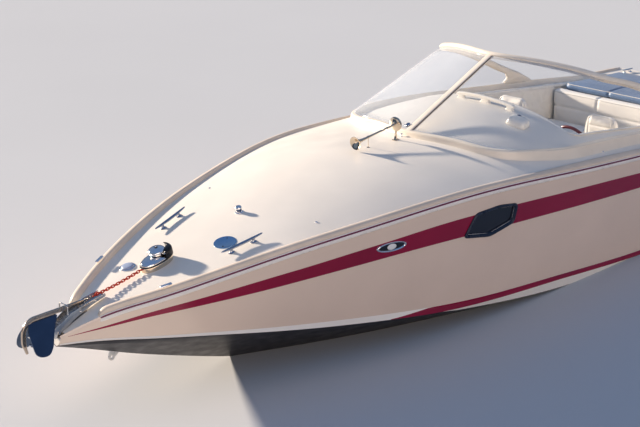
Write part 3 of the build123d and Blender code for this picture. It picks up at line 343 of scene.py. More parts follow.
drive_black = material("drive_black", (0.022, 0.023, 0.026), 0.30, vary=0.2, vary_scale=9.0, rough_vary=0.08, bump=0.12, bump_scale=160.0, depth=0.0006, coat=0.3)
prop_steel = material("propeller_steel", (0.70, 0.70, 0.72), 0.16, 1.0, vary=0.08, vary_scale=25.0, rough_vary=0.08, bump=0.05, bump_scale=180.0, depth=0.0004)

# ------------------------------------------------------------------ mesh tools


def make(name, verts, faces, mats, index=None, body=BOAT, replaces=(), angle=36.0, smooth=True, recalc=True, slot=None):
    me = bpy.data.meshes.new(name)
    me.from_pydata([tuple(v) for v in verts], [], faces)
    mats = mats if isinstance(mats, (list, tuple)) else [mats]
    for m in mats:
        me.materials.append(m)
    if index is not None:
        me.polygons.foreach_set("material_index", index)
    bm = bmesh.new()
    bm.from_mesh(me)
    if recalc:
        bmesh.ops.recalc_face_normals(bm, faces=bm.faces)
    bm.normal_update()
    lim = radians(angle)
    for f in bm.faces:
        f.smooth = smooth
    for e in bm.edges:
        if len(e.link_faces) == 2 and e.calc_face_angle(0.0) > lim:
            e.smooth = False
    bm.to_mesh(me)
    bm.free()
    ob = bpy.data.objects.new(name, me)
    scene.collection.objects.link(ob)
    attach(ob, body)
    if replaces:
        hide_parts(*([replaces] if isinstance(replaces, str) else replaces))
    return ob


class Build:
    """collects several closed shapes into one mesh"""

    def __init__(self):
        self.v, self.f, self.m = [], [], []

    def add(self, verts, faces, mat=0, matrix=None):
        o = len(self.v)
        for p in verts:
            p = Vector(p)
            self.v.append(matrix @ p if matrix is not None else p)
        self.f += [tuple(i + o for i in f) for f in faces]
        self.m += [mat] * len(faces)
        return self

    def mirror_y(self):
        o = len(self.v)
        self.v += [Vector((p.x, -p.y, p.z)) for p in self.v[:o]]
        self.f += [tuple(reversed([i + o for i in f])) for f in list(self.f)]
        self.m += list(self.m)
        return self

    def piece(self, name, mats, **kw):
        return make(name, self.v, self.f, mats, self.m, **kw)


def loft(rings, closed=True, caps=True):
    n = len(rings[0])
    v = [p for r in rings for p in r]
    f = []
    for i in range(len(rings) - 1):
        for j in range(n if closed else n - 1):
            k = (j + 1) % n
            f.append((i * n + j, i * n + k, (i + 1) * n + k, (i + 1) * n + j))
    if caps and closed:
        f.append(tuple(reversed(range(n))))
        f.append(tuple((len(rings) - 1) * n + j for j in range(n)))
    return v, f


def lathe(profile, matrix, seg=32):
    """profile of (radius, height) turned about the local z"""
    v, f, rows = [], [], []
    for r, h in profile:
        if r < 1e-6:
            rows.append([len(v)])
            v.append(matrix @ Vector((0, 0, h)))
        else:
            rows.append(list(range(len(v), len(v) + seg)))
            for k in range(seg):
                a = 2 * pi * k / seg
                v.append(matrix @ Vector((r * cos(a), r * sin(a), h)))
    for a, b in zip(rows, rows[1:]):
        for k in range(seg):
            q = (k + 1) % seg
            if len(a) == 1 and len(b) == 1:
                continue
            if len(a) == 1:
                f.append((a[0], b[q], b[k]))
            elif len(b) == 1:
                f.append((a[k], a[q], b[0]))
            else:
                f.append((a[k], a[q], b[q], b[k]))
    if len(rows[0]) > 1:
        f.append(tuple(reversed(rows[0])))
    if len(rows[-1]) > 1:
        f.append(tuple(rows[-1]))
    return v, f


def axis_frame(o, z, x=None):
    z = Vector(z).normalized()
    x = Vector(x) if x is not None else (Vector((0, 0, 1)) if abs(z.z) < 0.9 else Vector((1, 0, 0)))
    x = (x - z * x.dot(z)).normalized()
    return basis(Vector(o), x, z.cross(x), z)


def rrect(w, h, r, n=4, cx=0.0, cy=0.0):
    """rounded rectangle, anticlockwise"""
    r = min(r, w / 2 - 1e-5, h / 2 - 1e-5)
    out = []
    for qx, qy, a0 in ((1, 1, 0), (-1, 1, 90), (-1, -1, 180), (1, -1, 270)):
        for k in range(n + 1):
            a = radians(a0 + 90 * k / n)
            out.append((cx + qx * (w / 2 - r) + r * cos(a), cy + qy * (h / 2 - r) + r * sin(a)))
    return out


def round_poly(points, r, n=5):
    """polygon with rounded corners"""
    out, m = [], len(points)
    for i in range(m):
        p, a, b = Vector(points[i]), Vector(points[i - 1]), Vector(points[(i + 1) % m])
        da, db = (a - p), (b - p)
        rr = min(r if not isinstance(r, (list, tuple)) else r[i], da.length * 0.45, db.length * 0.45)
        s, e = p + da.normalized() * rr, p + db.normalized() * rr
        for k in range(n + 1):
            t = k / n
            out.append((s * (1 - t) ** 2 + p * 2 * t * (1 - t) + e * t * t)[:])
    return out


def tube(points, radius, seg=12, caps=True, radii=None, twist=None):
    """round bar along points"""
    pts = [Vector(p) for p in points]
    rings, prev = [], None
    for i, p in enumerate(pts):
        a, b = pts[max(i - 1, 0)], pts[min(i + 1, len(pts) - 1)]
        t = (b - a).normalized()
        if prev is None:
            x = t.orthogonal().normalized()
        else:
            x = (prev - t * prev.dot(t)).normalized()
        prev = x
        y = t.cross(x)
        rr = radii[i] if radii else radius
        rings.append([p + x * rr * cos(2 * pi * k / seg) + y * rr * sin(2 * pi * k / seg) for k in range(seg)])
    return loft(rings, caps=caps)


def torus_path(matrix, rx, ry, n=24, straight=0.0):
    """closed race-track centreline in the local xy plane"""
    out = []
    for k in range(n):
        a = 2 * pi * k / n
        out.append(matrix @ Vector((rx * cos(a) + (straight / 2 if cos(a) > 0 else -straight / 2), ry * sin(a), 0)))
    return out


def closed_tube(points, radius, seg=8):
    pts = [Vector(p) for p in points]
    n = len(pts)
    c = sum(pts, Vector()) / n
    nrm = (pts[1] - pts[0]).cross(pts[n // 2] - pts[0]).normalized()
    v, f = [], []
    for i, p in enumerate(pts):
        t = (pts[(i + 1) % n] - pts[i - 1]).normalized()
        x = nrm.cross(t).normalized()
        for k in range(seg):
            a = 2 * pi * k / seg
            v.append(p + x * radius * cos(a) + nrm * radius * sin(a))
    for i in range(n):
        j = (i + 1) % n
        for k in range(seg):
            q = (k + 1) % seg
            f.append((i * seg + k, i * seg + q, j * seg + q, j * seg + k))
    return v, f


def slab(outline, z0, z1, matrix, bevel=0.002, steps=3):
    """plate with rounded edges: outline is a closed list of (x, y)"""
    n = len(outline)
    c = Vector((sum(p[0] for p in outline) / n, sum(p[1] for p in outline) / n))
    pts = [Vector(p) for p in outline]
    nrm = []
    area = sum(pts[i].x * pts[(i + 1) % n].y - pts[(i + 1) % n].x * pts[i].y for i in range(n))
    sg = 1.0 if area > 0 else -1.0
    for i in range(n):
        t = (pts[(i + 1) % n] - pts[i - 1]).normalized()
        nrm.append(Vector((t.y, -t.x)) * sg)
    prof = []
    for k in range(steps + 1):
        a = (pi / 2) * k / steps
        prof.append((bevel * (1 - sin(a)), z0 + bevel * (1 - cos(a))))
    for k in range(steps + 1):
        a = (pi / 2) * k / steps
        prof.append((bevel * (1 - cos(a)), z1 - bevel * (1 - sin(a))))
    rings = [[matrix @ Vector((p.x - q.x * d, p.y - q.y * d, z)) for p, q in zip(pts, nrm)] for d, z in prof]
    return loft(rings)


def rounded_box(lo, hi, r, n=3):
    """box with rounded edges and corners"""
    lo, hi = Vector(lo), Vector(hi)
    r = min(r, *[(hi[i] - lo[i]) / 2 - 1e-5 for i in range(3)])
    c = (lo + hi) / 2
    prof = []
    for k in range(n + 1):
        a = (pi / 2) * k / n
        prof.append((r * (1 - sin(a)), lo.z + r * (1 - cos(a))))
    for k in range(n + 1):
        a = (pi / 2) * k / n
        prof.append((r * (1 - cos(a)), hi.z - r * (1 - sin(a))))
    rings = []
    for d, z in prof:
        ring = rrect(hi.x - lo.x - 2 * d, hi.y - lo.y - 2 * d, max(r - d, 0.0005) if r > d else 0.0005, n, c.x, c.y)
        rings.append([Vector((x, y, z)) for x, y in ring])
    return loft(rings)


def sampled(pts, n):
    """a smooth line through points, at n even steps of chord"""
    pts = [Vector(p) for p in pts]
    d = [0.0]
    for a, b in zip(pts, pts[1:]):
        d.append(d[-1] + (b - a).length)
    fs = [fair(d, [p[k] for p in pts]) for k in range(3)]
    return [Vector([f(d[-1] * i / (n - 1)) for f in fs]) for i in range(n)]


def arc_path(points, r, n=6):
    """open polyline with its inner corners rounded"""
    pts = [Vector(p) for p in points]
    out = [pts[0]]
    for i in range(1, len(pts) - 1):
        p, da, db = pts[i], pts[i - 1] - pts[i], pts[i + 1] - pts[i]
        rr = min(r, da.length * 0.45, db.length * 0.45)
        s, e = p + da.normalized() * rr, p + db.normalized() * rr
        for k in range(n + 1):
            t = k / n
            out.append(s * (1 - t) ** 2 + p * 2 * t * (1 - t) + e * t * t)
    out.append(pts[-1])
    return out


def mirrored(v, f):
    return [Vector((p.x, -p.y, p.z)) for p in v], [tuple(reversed(q)) for q in f]


I4 = Matrix.Identity(4)

# ------------------------------------------------------------------ hull shell
STRIPE = [  # s, bottom z, top z
    (0.05, 0.716, 0.718), (0.321, 0.730, 0.748), (0.578, 0.760, 0.798), (0.855, 0.774, 0.833), (1.15, 0.783, 0.862), (1.46, 0.793, 0.893), (1.78, 0.809, 0.921), (2.11, 0.8255, 0.952),
    (2.50, 0.842, 0.984), (2.95, 0.851, 1.014), (3.4, 0.843, 1.016), (3.93, 0.822, 0.992), (4.4, 0.795, 0.960), (5.1, 0.750, 0.907), (5.6, 0.714, 0.862), (7.3, 0.560, 0.712), (8.9, 0.470, 0.622),
]
stripe_lo = fair([r[0] for r in STRIPE], [r[1] for r in STRIPE])
stripe_hi = fair([r[0] for r in STRIPE], [r[2] for r in STRIPE])
lip_up = line([0, 0.5, 1.3, 2.0, 3.0, 3.7, 8.9], [0.006, 0.010, 0.008, 0.008, 0.004, 0.001, 0.001])
lip_dn = line([0, 0.5, 1.3, 2.0, 3.0, 3.7, 4.5, 8.9], [0.002, 0.002, 0.014, 0.030, 0.048, 0.042, 0.036, 0.036])
lip_out = line([0, 0.5, 1.26, 2.0, 3.2, 4.5, 8.9], [0.004, 0.010, 0.016, 0.022, 0.022, 0.016, 0.014])
SKIN = 0.004


def side_y(s, z):
    k = (z - at("knuckle_z", s)) / (at("sheer_z", s) - at("knuckle_z", s))
    return at("knuckle_y", s) + k * (at("sheer_y", s) - at("knuckle_y", s))


def hull_stations():
    out = [0.0, 0.02, 0.05, 0.09, 0.14]
    s = 0.2
    while s < 8.88:
        out.append(round(s, 4))
        s += 0.0125 if 3.15 <= s < 3.84 else 0.06
    return out + [8.9]


def hull_rows(s):
    """port points from keel to the deck's edge, and the material of the strip above each row"""
    kz, cy, cz, ny, nz = at("keel_z", s), at("chine_y", s), at("chine_z", s), at("knuckle_y", s), at("knuckle_z", s)
    sy, sz = at("sheer_y", s), at("sheer_z", s)
    rows, mats = [], []

    def run(p, q, n, m):
        for i in range(n):
            t = i / n
            rows.append((p[0] + (q[0] - p[0]) * t, p[1] + (q[1] - p[1]) * t))
            mats.append(m)

    run((0.0, kz), (cy, cz), 8, 1)
    o = lip_out(s)
    z_low, z_top = nz - lip_dn(s), nz + lip_up(s)
    k_under = (z_low - 0.006 - cz) / (nz - cz)
    under = (cy + (ny - cy) * k_under + 0.001, z_low - 0.006)
    lipt = (side_y(s, z_top) + 0.001, z_top)
    edge_y = max(cy + (ny - cy) * (z_low - cz) / (nz - cz) + 0.010, ny + o * (0.55 + 0.45 * max(0.0, 1 - lip_dn(s) / 0.05)))
    lipb = (edge_y, z_low)
    # the white of the boot stripe starts as a sliver under the red and widens down to the chine
    white = 0.98 - 0.96 * min(1.0, max(0.0, (s - 2.94) / 0.36))
    cut = (cy + (under[0] - cy) * white, cz + (under[1] - cz) * white)
    run((cy, cz), cut, 2, 1)
    run(cut, under, 1, 2)
    run(under, lipb, 1, 2)
    # forward of s 2.62 the lip face keeps the whiter gelcoat, partly painted highlight; aft it turns burgundy
    share = min(1.0, max(0.0, (s - 2.62) / 0.36))
    mid = (lipb[0] + (lipt[0] - lipb[0]) * (0.02 + 0.96 * share), lipb[1] + (lipt[1] - lipb[1]) * (0.02 + 0.96 * share))
    run(lipb, mid, 2, 3 if share > 0 else 2)
    run(mid, lipt, 1, 2)
    if s < 0.05:
        z1 = z2 = lipt[1] + (sz - lipt[1]) * 0.3
    else:
        z1, z2 = stripe_lo(s), stripe_hi(s)
        z2 = max(z2, z1 + 0.0002)
    a = (side_y(s, z1), z1)
    b = (side_y(s, z2 + (0.0001 if z2 == z1 else 0)), z2 + (0.0001 if z2 == z1 else 0))
    run(lipt, a, 34, 0)
    run(a, b, 9, 4 if s >= 0.05 else 0)
    run(b, (sy, sz), 9, 0)
    rows.append((sy, sz))
    mats.append(0)
    rows.append((sy, sz + 0.014))
    mats.append(0)
    rows.append((sy - 0.004, sz + 0.024))
    return rows, mats


PORT_LIGHT = [(3.209, 0.834), (3.305, 1.032), (3.573, 1.045), (3.787, 1.013), (3.771, 0.843), (3.504, 0.780)]


def inside(poly, x, y):
    c = False
    n = len(poly)
    for i in range(n):
        (x1, y1), (x2, y2) = poly[i], poly[i - 1]
        if (y1 > y) != (y2 > y) and x < (x2 - x1) * (y - y1) / (y2 - y1) + x1:
            c = not c
    return c


def inset(poly, d):
    n, out = len(poly), []
    pts = [Vector(p) for p in poly]
    area = sum(pts[i].x * pts[(i + 1) % n].y - pts[(i + 1) % n].x * pts[i].y for i in range(n))
    sg = 1 if area > 0 else -1
    for i in range(n):
        a, p, b = pts[i - 1], pts[i], pts[(i + 1) % n]
        n1 = Vector((-(p - a).y, (p - a).x)).normalized() * sg
        n2 = Vector((-(b - p).y, (b - p).x)).normalized() * sg
        m = (n1 + n2).normalized()
        out.append(tuple(p + m * (d / max(m.dot(n1), 0.3))))
    return out


def hull_shell():
    ss = hull_stations()
    data = [hull_rows(s) for s in ss]
    n = len(data[0][0])
    hole = inset(PORT_LIGHT, 0.015)
    verts, faces, index = [], [], []
    for s, (rows, _) in zip(ss, data):
        verts += [Vector((X(s), y, z)) for y, z in rows]
    for i in range(len(ss) - 1):
        for j in range(n - 1):
            q = (i * n + j, i * n + j + 1, (i + 1) * n + j + 1, (i + 1) * n + j)
            c = sum((verts[k] for k in q), Vector()) / 4
            if 3.15 < 4.5 - c.x < 3.85 and inside(hole, 4.5 - c.x, c.z):
                continue
            faces.append(q)
            index.append(data[i + 1][1][j] if data[i + 1][1][j] == 3 else data[i][1][j])
    # transom: fan of rows at the stern
    o = len(verts)
    m = len(verts)
    mirrored_v = [Vector((p.x, -p.y, p.z)) for p in verts]
    all_v = verts + mirrored_v
    all_f = faces + [tuple(reversed([k + o for k in f])) for f in faces]
    all_i = index + index
    last = (len(ss) - 1) * n
    for j in range(n - 1):
        all_f.append((last + j + 1, last + j, last + j + o, last + j + 1 + o))
        mt = data[-1][1][j]
        all_i.append(0 if mt == 4 else mt)
    # push the whole shell off the moulding under it
    me = bpy.data.meshes.new("tmp")
    me.from_pydata([tuple(v) for v in all_v], [], all_f)
    bm = bmesh.new()
    bm.from_mesh(me)
    bmesh.ops.remove_doubles(bm, verts=[v for v in bm.verts if abs(v.co.y) < 1e-6], dist=1e-5)
    bm.faces.ensure_lookup_table()
    idx = list(all_i)
    for f, k in zip(bm.faces, idx):
        f.material_index = k
    bmesh.ops.recalc_face_normals(bm, faces=bm.faces)
    bm.normal_update()
    vol = sum(f.normal.y * (1 if f.calc_center_median().y > 0 else -1) * f.calc_area() for f in bm.faces)
    if vol < 0:
        bmesh.ops.reverse_faces(bm, faces=bm.faces)
        bm.normal_update()
    for v in bm.verts:
        v.co += v.normal * SKIN
    for f in bm.faces:
        f.smooth = True
    for e in bm.edges:
        if len(e.link_faces) == 2 and e.calc_face_angle(0.0) > radians(18):
            e.smooth = False
    out = bpy.data.meshes.new("hull_shell")
    # shell materials: topside gelcoat, the bottom's painted shade, the whiter lip gelcoat (partly painted highlight),
    # and the burgundy stripes
    for mt in (gelcoat, bottom_painted_shade, gel_white, burgundy, burgundy):
        out.materials.append(mt)
    bm.to_mesh(out)
    bm.free()
    bpy.data.meshes.remove(me)
    ob = bpy.data.objects.new("hull_shell", out)
    scene.collection.objects.link(ob)
    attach(ob, BOAT)
    return ob


hull_shell()

# ------------------------------------------------------------------ deck skin
OPEN_S0, OPEN_S1, OPEN_Y, OPEN_R = 4.93, 8.48, 0.896, 0.09


def opening_outline(grow=0.0, n=8):
    w, h = OPEN_S1 - OPEN_S0 + 2 * grow, 2 * (OPEN_Y + grow)
    return rrect(w, h, OPEN_R + grow, n, X((OPEN_S0 + OPEN_S1) / 2), 0.0)


def deck_skin():
    ring, ss = [], [0.03 + (8.9 - 0.03) * i / 150 for i in range(151)]
    for s in ss:
        ring.append((X(s), at("sheer_y", s) - 0.002))
    for s in reversed(ss):
        ring.append((X(s), -(at("sheer_y", s) - 0.002)))
    hole = opening_outline(0.002)
    dense = []
    for (x1, y1), (x2, y2) in zip(hole, hole[1:] + hole[:1]):
        d = hypot(x2 - x1, y2 - y1)
        k = max(1, int(d / 0.05))
        dense += [(x1 + (x2 - x1) * i / k, y1 + (y2 - y1) * i / k) for i in range(k)]
    pts = ring + dense
    edges = [(i, (i + 1) % len(ring)) for i in range(len(ring))]
    o = len(ring)
    edges += [(o + i, o + (i + 1) % len(dense)) for i in range(len(dense))]
    step = 0.055
    s = 0.06
    while s < 8.88:
        hw = at("sheer_y", s) - 0.02
        k = max(1, int(hw / step))
        for j in range(-k, k + 1):
            y = hw * j / k * 0.985
            x = X(s)
            if not inside(opening_outline(0.02), x, y):
                pts.append((x, y))
        s += step
    res = delaunay_2d_cdt([Vector(p) for p in pts], edges, [], 0, 1e-6)
    vs, fs = res[0], res[2]
    hole_p = opening_outline(0.002)
    keep = []
    for f in fs:
        c = sum((vs[k] for k in f), Vector((0, 0))) / len(f)
        if inside(hole_p, c.x, c.y):
            continue
        if abs(c.y) > at("sheer_y", 4.5 - c.x) - 0.0015:
            continue
        keep.append(tuple(f))
    v3 = []
    for p in vs:
        s = 4.5 - p.x
        hw = at("sheer_y", s) - 0.004
        y = max(-hw, min(hw, p.y))
        v3.append(Vector((p.x, p.y, deck_z(s, y) + 0.003)))
    ob = make("deck_skin", v3, keep, [deck_gel], angle=60, recalc=True)
    if ob.data.polygons[len(ob.data.polygons) // 2].normal.z < 0:
        ob.data.flip_normals()
    return ob


deck_skin()

# rolled edge round the cockpit opening
ring = opening_outline(-0.002, 8)
dense = []
for (x1, y1), (x2, y2) in zip(ring, ring[1:] + ring[:1]):
    d = hypot(x2 - x1, y2 - y1)
    k = max(1, int(d / 0.06))
    dense += [(x1 + (x2 - x1) * i / k, y1 + (y2 - y1) * i / k) for i in range(k)]
rings = []
m = len(dense)
for i, (x, y) in enumerate(dense):
    a, b = dense[i - 1], dense[(i + 1) % m]
    t = Vector((b[0] - a[0], b[1] - a[1], 0)).normalized()
    out = Vector((t.y, -t.x, 0))
    s = 4.5 - x
    base = Vector((x, y, deck_z(s, y)))
    prof = [(0.030, 0.0035), (0.026, 0.0065), (0.012, 0.009), (0.0, 0.0085), (-0.008, 0.004), (-0.012, -0.006), (-0.012, -0.024), (-0.004, -0.030), (0.004, -0.028), (0.006, -0.01)]
    rings.append([base + out * p + Vector((0, 0, q)) for p, q in prof])
v, f = [p for r in rings for p in r], []
n = len(rings[0])
for i in range(m):
    for j in range(n):
        k, q = (i + 1) % m, (j + 1) % n
        f.append((i * n + j, i * n + q, k * n + q, k * n + j))
make("opening_edge", v, f, [deck_smooth], angle=50)

# ------------------------------------------------------------------ rub rail with its insert
b = Build()
rr_s = [0.262 + 0.004 * i for i in range(6)] + [0.30 + (8.9 - 0.30) * i / 150 for i in range(151)]
RUB = [(0.0, -0.021, 0), (0.006, -0.021, 0), (0.0105, -0.017, 0), (0.0125, -0.010, 0), (0.0125, 0.002, 0), (0.0105, 0.0065, 0), (0.0075, 0.0085, 1), (0.0070, 0.015, 1), (0.0075, 0.0215, 0), (0.0085, 0.0235, 0), (0.006, 0.0265, 0), (0.0, 0.0275, 0)]
rings = []
for i, s in enumerate(rr_s):
    y, z = at("sheer_y", s) - 0.0007, at("sheer_z", s) + 0.005
    t = min(1.0, (s - 0.258) / 0.035)
    k = sqrt(max(0.0, 1 - (1 - t) ** 2))
    rings.append([Vector((X(s), y + p * max(k, 0.15), z + q * (0.55 + 0.45 * k))) for p, q, _ in RUB])
v, f = loft(rings)
b.add(v, f)
per = len(RUB)
b.m = [RUB[i % per][2] for i in range((len(rings) - 1) * per)] + [0, 0]
b.mirror_y().piece("rub_rail", [rail_white, plum], replaces="rub_rails", angle=50)

# ------------------------------------------------------------------ toe rail
TOE = [(0.262, 26), (0.330, 45), (0.600, 46), (1.000, 45), (1.500, 42), (2.300, 36), (3.300, 31), (4.400, 27), (5.800, 25), (7.3, 24), (8.85, 22)]
toe_height = fair([r[0] for r in TOE[1:]], [r[1] / 1000 for r in TOE[1:]])
TOE_P = [(0.0, -0.02), (0.0, 0.30), (0.008, 0.55), (0.045, 0.80), (0.12, 0.94), (0.24, 1.0), (0.42, 1.02), (0.60, 1.0), (0.74, 0.93), (0.84, 0.76), (0.91, 0.50), (0.96, 0.22), (1.03, 0.02), (1.10, -0.06)]
b = Build()
ss = [0.262 + 0.07 * (i / 9) ** 1.6 for i in range(10)] + [0.345 + (8.85 - 0.345) * i / 150 for i in range(151)]
rings = []
for s in ss:
    t = min(1.0, (s - 0.262) / 0.07)
    k = sqrt(max(0.0, 1 - (1 - t) ** 2))
    te = min(1.0, (8.852 - s) / 0.12)
    k2 = sqrt(max(0.0, 1 - (1 - te) ** 2))
    h = toe_height(max(s, 0.33)) * k * k2
    w = 0.062 * (0.25 + 0.75 * k)
    y = at("sheer_y", s) - 0.001
    z0 = at("sheer_z", s) + 0.024
    zi = deck_z(s, y - w) + 0.002
    ring = []
    for p, q in TOE_P:
        base = z0 + (zi - z0) * min(p, 1.0)
        ring.append(Vector((X(s), y - w * p, base + q * h)))
    rings.append(ring)
v, f = loft(rings)
b.add(v, f)
b.mirror_y().piece("toe_rail", [rail_tan], replaces="toe_rails", angle=60)

# ------------------------------------------------------------------ windscreen
WS_BASE = [(3.775, 0), (3.795, 0.180), (3.838, 0.360), (3.880, 0.560), (3.928, 0.735), (4.030, 0.880), (4.230, 0.995), (4.480, 1.076), (4.850, 1.108), (5.350, 1.105), (5.900, 1.098), (6.400, 1.080), (6.980, 1.048)]
WS_TOP = [(4.900, 0, 1.862), (4.935, 0.160, 1.857), (5.010, 0.330, 1.843), (5.095, 0.500, 1.820), (5.190, 0.700, 1.785), (5.270, 0.850, 1.745), (5.380, 0.945, 1.700), (5.560, 0.985, 1.645), (5.800, 1.000, 1.560), (6.100, 1.008, 1.430), (6.400, 1.020, 1.290), (6.700, 1.035, 1.172), (6.960, 1.042, 1.082)]
TAIL = [(7.400, 1.012), (7.900, 0.970), (8.350, 0.938)]


def both(rows):
    return [(*r[:1], r[1], *r[2:]) for r in reversed(rows)] + [(r[0], -r[1], *r[2:]) for r in rows[1:]]


base3 = [Vector((X(s), y, deck_z(s, y))) for s, y in both(WS_BASE)]
top3 = [Vector((X(s), y, z)) for s, y, z in both(WS_TOP)]
knots = [0.0]
for i in range(1, len(base3)):
    knots.append(knots[-1] + 0.5 * ((base3[i] - base3[i - 1]).length + (top3[i] - top3[i - 1]).length))
base_f = [fair(knots, [p[k] for p in base3]) for k in range(2)]
top_f = [fair(knots, [p[k] for p in top3]) for k in range(3)]
LEN = knots[-1]


def base_at(u):
    x, y = base_f[0](u), base_f[1](u)
    return Vector((x, y, deck_z(4.5 - x, y)))


def top_at(u):
    return Vector([f(u) for f in top_f])


def coaming_height(s):
    return line([3.78, 3.9, 4.0, 4.1, 4.35, 4.85, 6.0, 6.98, 7.4, 7.9, 8.35], [0.045, 0.052, 0.062, 0.068, 0.074, 0.080, 0.080, 0.073, 0.062, 0.052, 0.044])(s)


def coaming_flare(s):
    return line([3.9, 4.3, 4.8, 6.0, 7.4], [0.0, 0.6, 1.0, 1.0, 0.4])(s)


def frame_depth(s_top):
    return line([4.9, 5.19, 5.27, 5.38, 5.56, 5.8, 6.1, 6.5, 6.96], [0.050, 0.056, 0.062, 0.070, 0.080, 0.088, 0.092, 0.088, 0.060])(s_top)


# coaming: path from the port tail round the front to the starboard tail
tail_p = [Vector((X(s), y, 0)) for s, y in reversed(TAIL)]
path = tail_p + [Vector((p.x, p.y, 0)) for p in base3] + [Vector((p.x, -p.y, 0)) for p in reversed(tail_p)]
cp = sampled(path, 260)
COAM = [(-0.033, -0.004), (-0.028, 0.006), (-0.0245, 0.22), (-0.0235, 0.60), (-0.0215, 0.86), (-0.017, 0.97), (-0.010, 1.0), (0.010, 1.0), (0.018, 0.96), (0.022, 0.80), (0.024, 0.35), (0.028, 0.05), (0.033, -0.004)]
rings = []
for i, p in enumerate(cp):
    a, c = cp[max(i - 1, 0)], cp[min(i + 1, len(cp) - 1)]
    t = (c - a)
    t.z = 0
    t.normalize()
    side = Vector((t.y, -t.x, 0))  # inboard
    s = 4.5 - p.x
    h = coaming_height(s) + 0.004
    e = min(i, len(cp) - 1 - i) / 10.0
    k = sqrt(max(0.0, 1 - (1 - min(1, e)) ** 2))
    ring = []
    fl = coaming_flare(s)
    for q, r in COAM:
        if q < 0:
            q += 0.030 * fl * max(0.0, r) ** 0.8
        x, y = p.x + side.x * q, p.y + side.y * q
        z = deck_z(4.5 - x, y) + 0.002
        ring.append(Vector((x, y, z + (r if r < 0.03 and r > -0.01 and abs(r) < 0.0065 else r * h * max(k, 0.1)))))
    rings.append(ring)
v, f = loft(rings)
make("windscreen_sill", v, f, [frame_cream], replaces="windscreen_coaming", angle=50)

# the side frames and the top rail, in the plane of the glass
NU = 240
us = [LEN * i / NU for i in range(NU + 1)]
rings, trim_rings, glass_lo, glass_hi = [], [], [], []
info = []
for u in us:
    B, T = base_at(u), top_at(u)
    s_b, s_t = 4.5 - B.x, 4.5 - T.x
    B = B + Vector((0, 0, coaming_height(s_b) - 0.006))
    v_dir = (T - B).normalized()
    e = LEN / NU
    tb = base_at(min(LEN, u + e)) - base_at(max(0, u - e))
    tt = top_at(min(LEN, u + e)) - top_at(max(0, u - e))
    tan = (tb.normalized() + tt.normalized()).normalized()
    tan = (tan - v_dir * tan.dot(v_dir)).normalized()
    nrm = tan.cross(v_dir).normalized()
    # outboard or forward
    outw = Vector((T.x + 0.9, T.y * 1.6, 0.4))
    if nrm.dot(outw) < 0:
        nrm = -nrm
    H = (T - B).length
    info.append((B, T, v_dir, nrm, H, s_b, s_t))
for B, T, v_dir, nrm, H, s_b, s_t in info:
    d = frame_depth(s_t)
    upper = d / 2
    lower = glass_low = min(d / 2, H - 0.012)
    end = max(0.0, min(1.0, (s_t - 6.80) / 0.16))
    q = max(0.0, min(1.0, (s_b - 6.04) / 0.41))
    # the tail rounds down on to the sill
    drop = max(0.0, min(1.0, (s_t - 6.64) / 0.31)) ** 2
    if drop:
        T = T - Vector((0, 0, (T.z - B.z - 0.014) * drop))
        H = max(0.020, (T.z - B.z) / max(0.3, v_dir.z))
    upper *= 1 - 0.65 * drop
    lower = min(lower, H - 0.006)
    lower = max(lower, lower + (H - 0.004 - lower) * (1 - sqrt(1 - q * q)))
    th = 0.022 * (1 - 0.5 * end)
    prof = [
        (upper, -0.35), (upper - 0.003, -0.68), (upper - 0.010, -0.92), (0.0, -1.0), (-lower + 0.012, -0.85), (-lower + 0.003, -0.72), (-lower, -0.40),
        (-lower, 0.40), (-lower + 0.003, 0.72), (-lower + 0.012, 0.85), (0.0, 1.0), (upper - 0.010, 0.92), (upper - 0.003, 0.68), (upper, 0.35),
    ]
    rings.append([T + v_dir * a + nrm * (c * th) for a, c in prof])
    g = -lower
    trim_rings.append([T + v_dir * (g + a) + nrm * c for a, c in ((0.014, -th * 0.55), (0.014, -th * 0.99), (-0.005, -th * 0.92), (-0.009, -th * 0.80), (-0.009, -th * 0.62), (-0.004, -th * 0.50))])
    glass_lo.append(B)
    glass_hi.append(T - v_dir * (glass_low - 0.006))
v, f = loft(rings)
make("windscreen_rail", v, f, [frame_cream], replaces="windscreen_top_rail", angle=50)
cut = [i for i, q in enumerate(info) if q[5] < 6.46]
v, f = loft([trim_rings[i] for i in cut if info[i][5] < 6.14])
make("windscreen_rail_trim", v, f, [frame_trim], angle=60)

# glass: four panes in one sheet, its aft corners rounded
GR = 10
verts, faces = [], []
ci = [i for i in cut]
for n_i, i in enumerate(ci):
    B, T, v_dir, nrm, H, s_b, s_t = info[i]
    lo, hi = glass_lo[i], glass_hi[i]
    for k in range(GR + 1):
        verts.append(lo + (hi - lo) * (k / GR) + nrm * (0.006 * (1 - k / GR)))
for a in range(len(ci) - 1):
    for k in range(GR):
        o = a * (GR + 1) + k
        faces.append((o, o + 1, o + GR + 2, o + GR + 1))
mid_u = len(ci) // 2
pane_index = [1 if 4.0 < a - mid_u + 4.0 and info[ci[a]][5] < 4.3 else 0 for a in range(len(ci) - 1) for k in range(GR)]
gl = make("windscreen_panes", verts, faces, [screen_glass, screen_glass_hazy], pane_index, replaces="windscreen_glass", angle=70)
sol = gl.modifiers.new("thickness", "SOLIDIFY")
sol.thickness, sol.offset = 0.005, 0.0

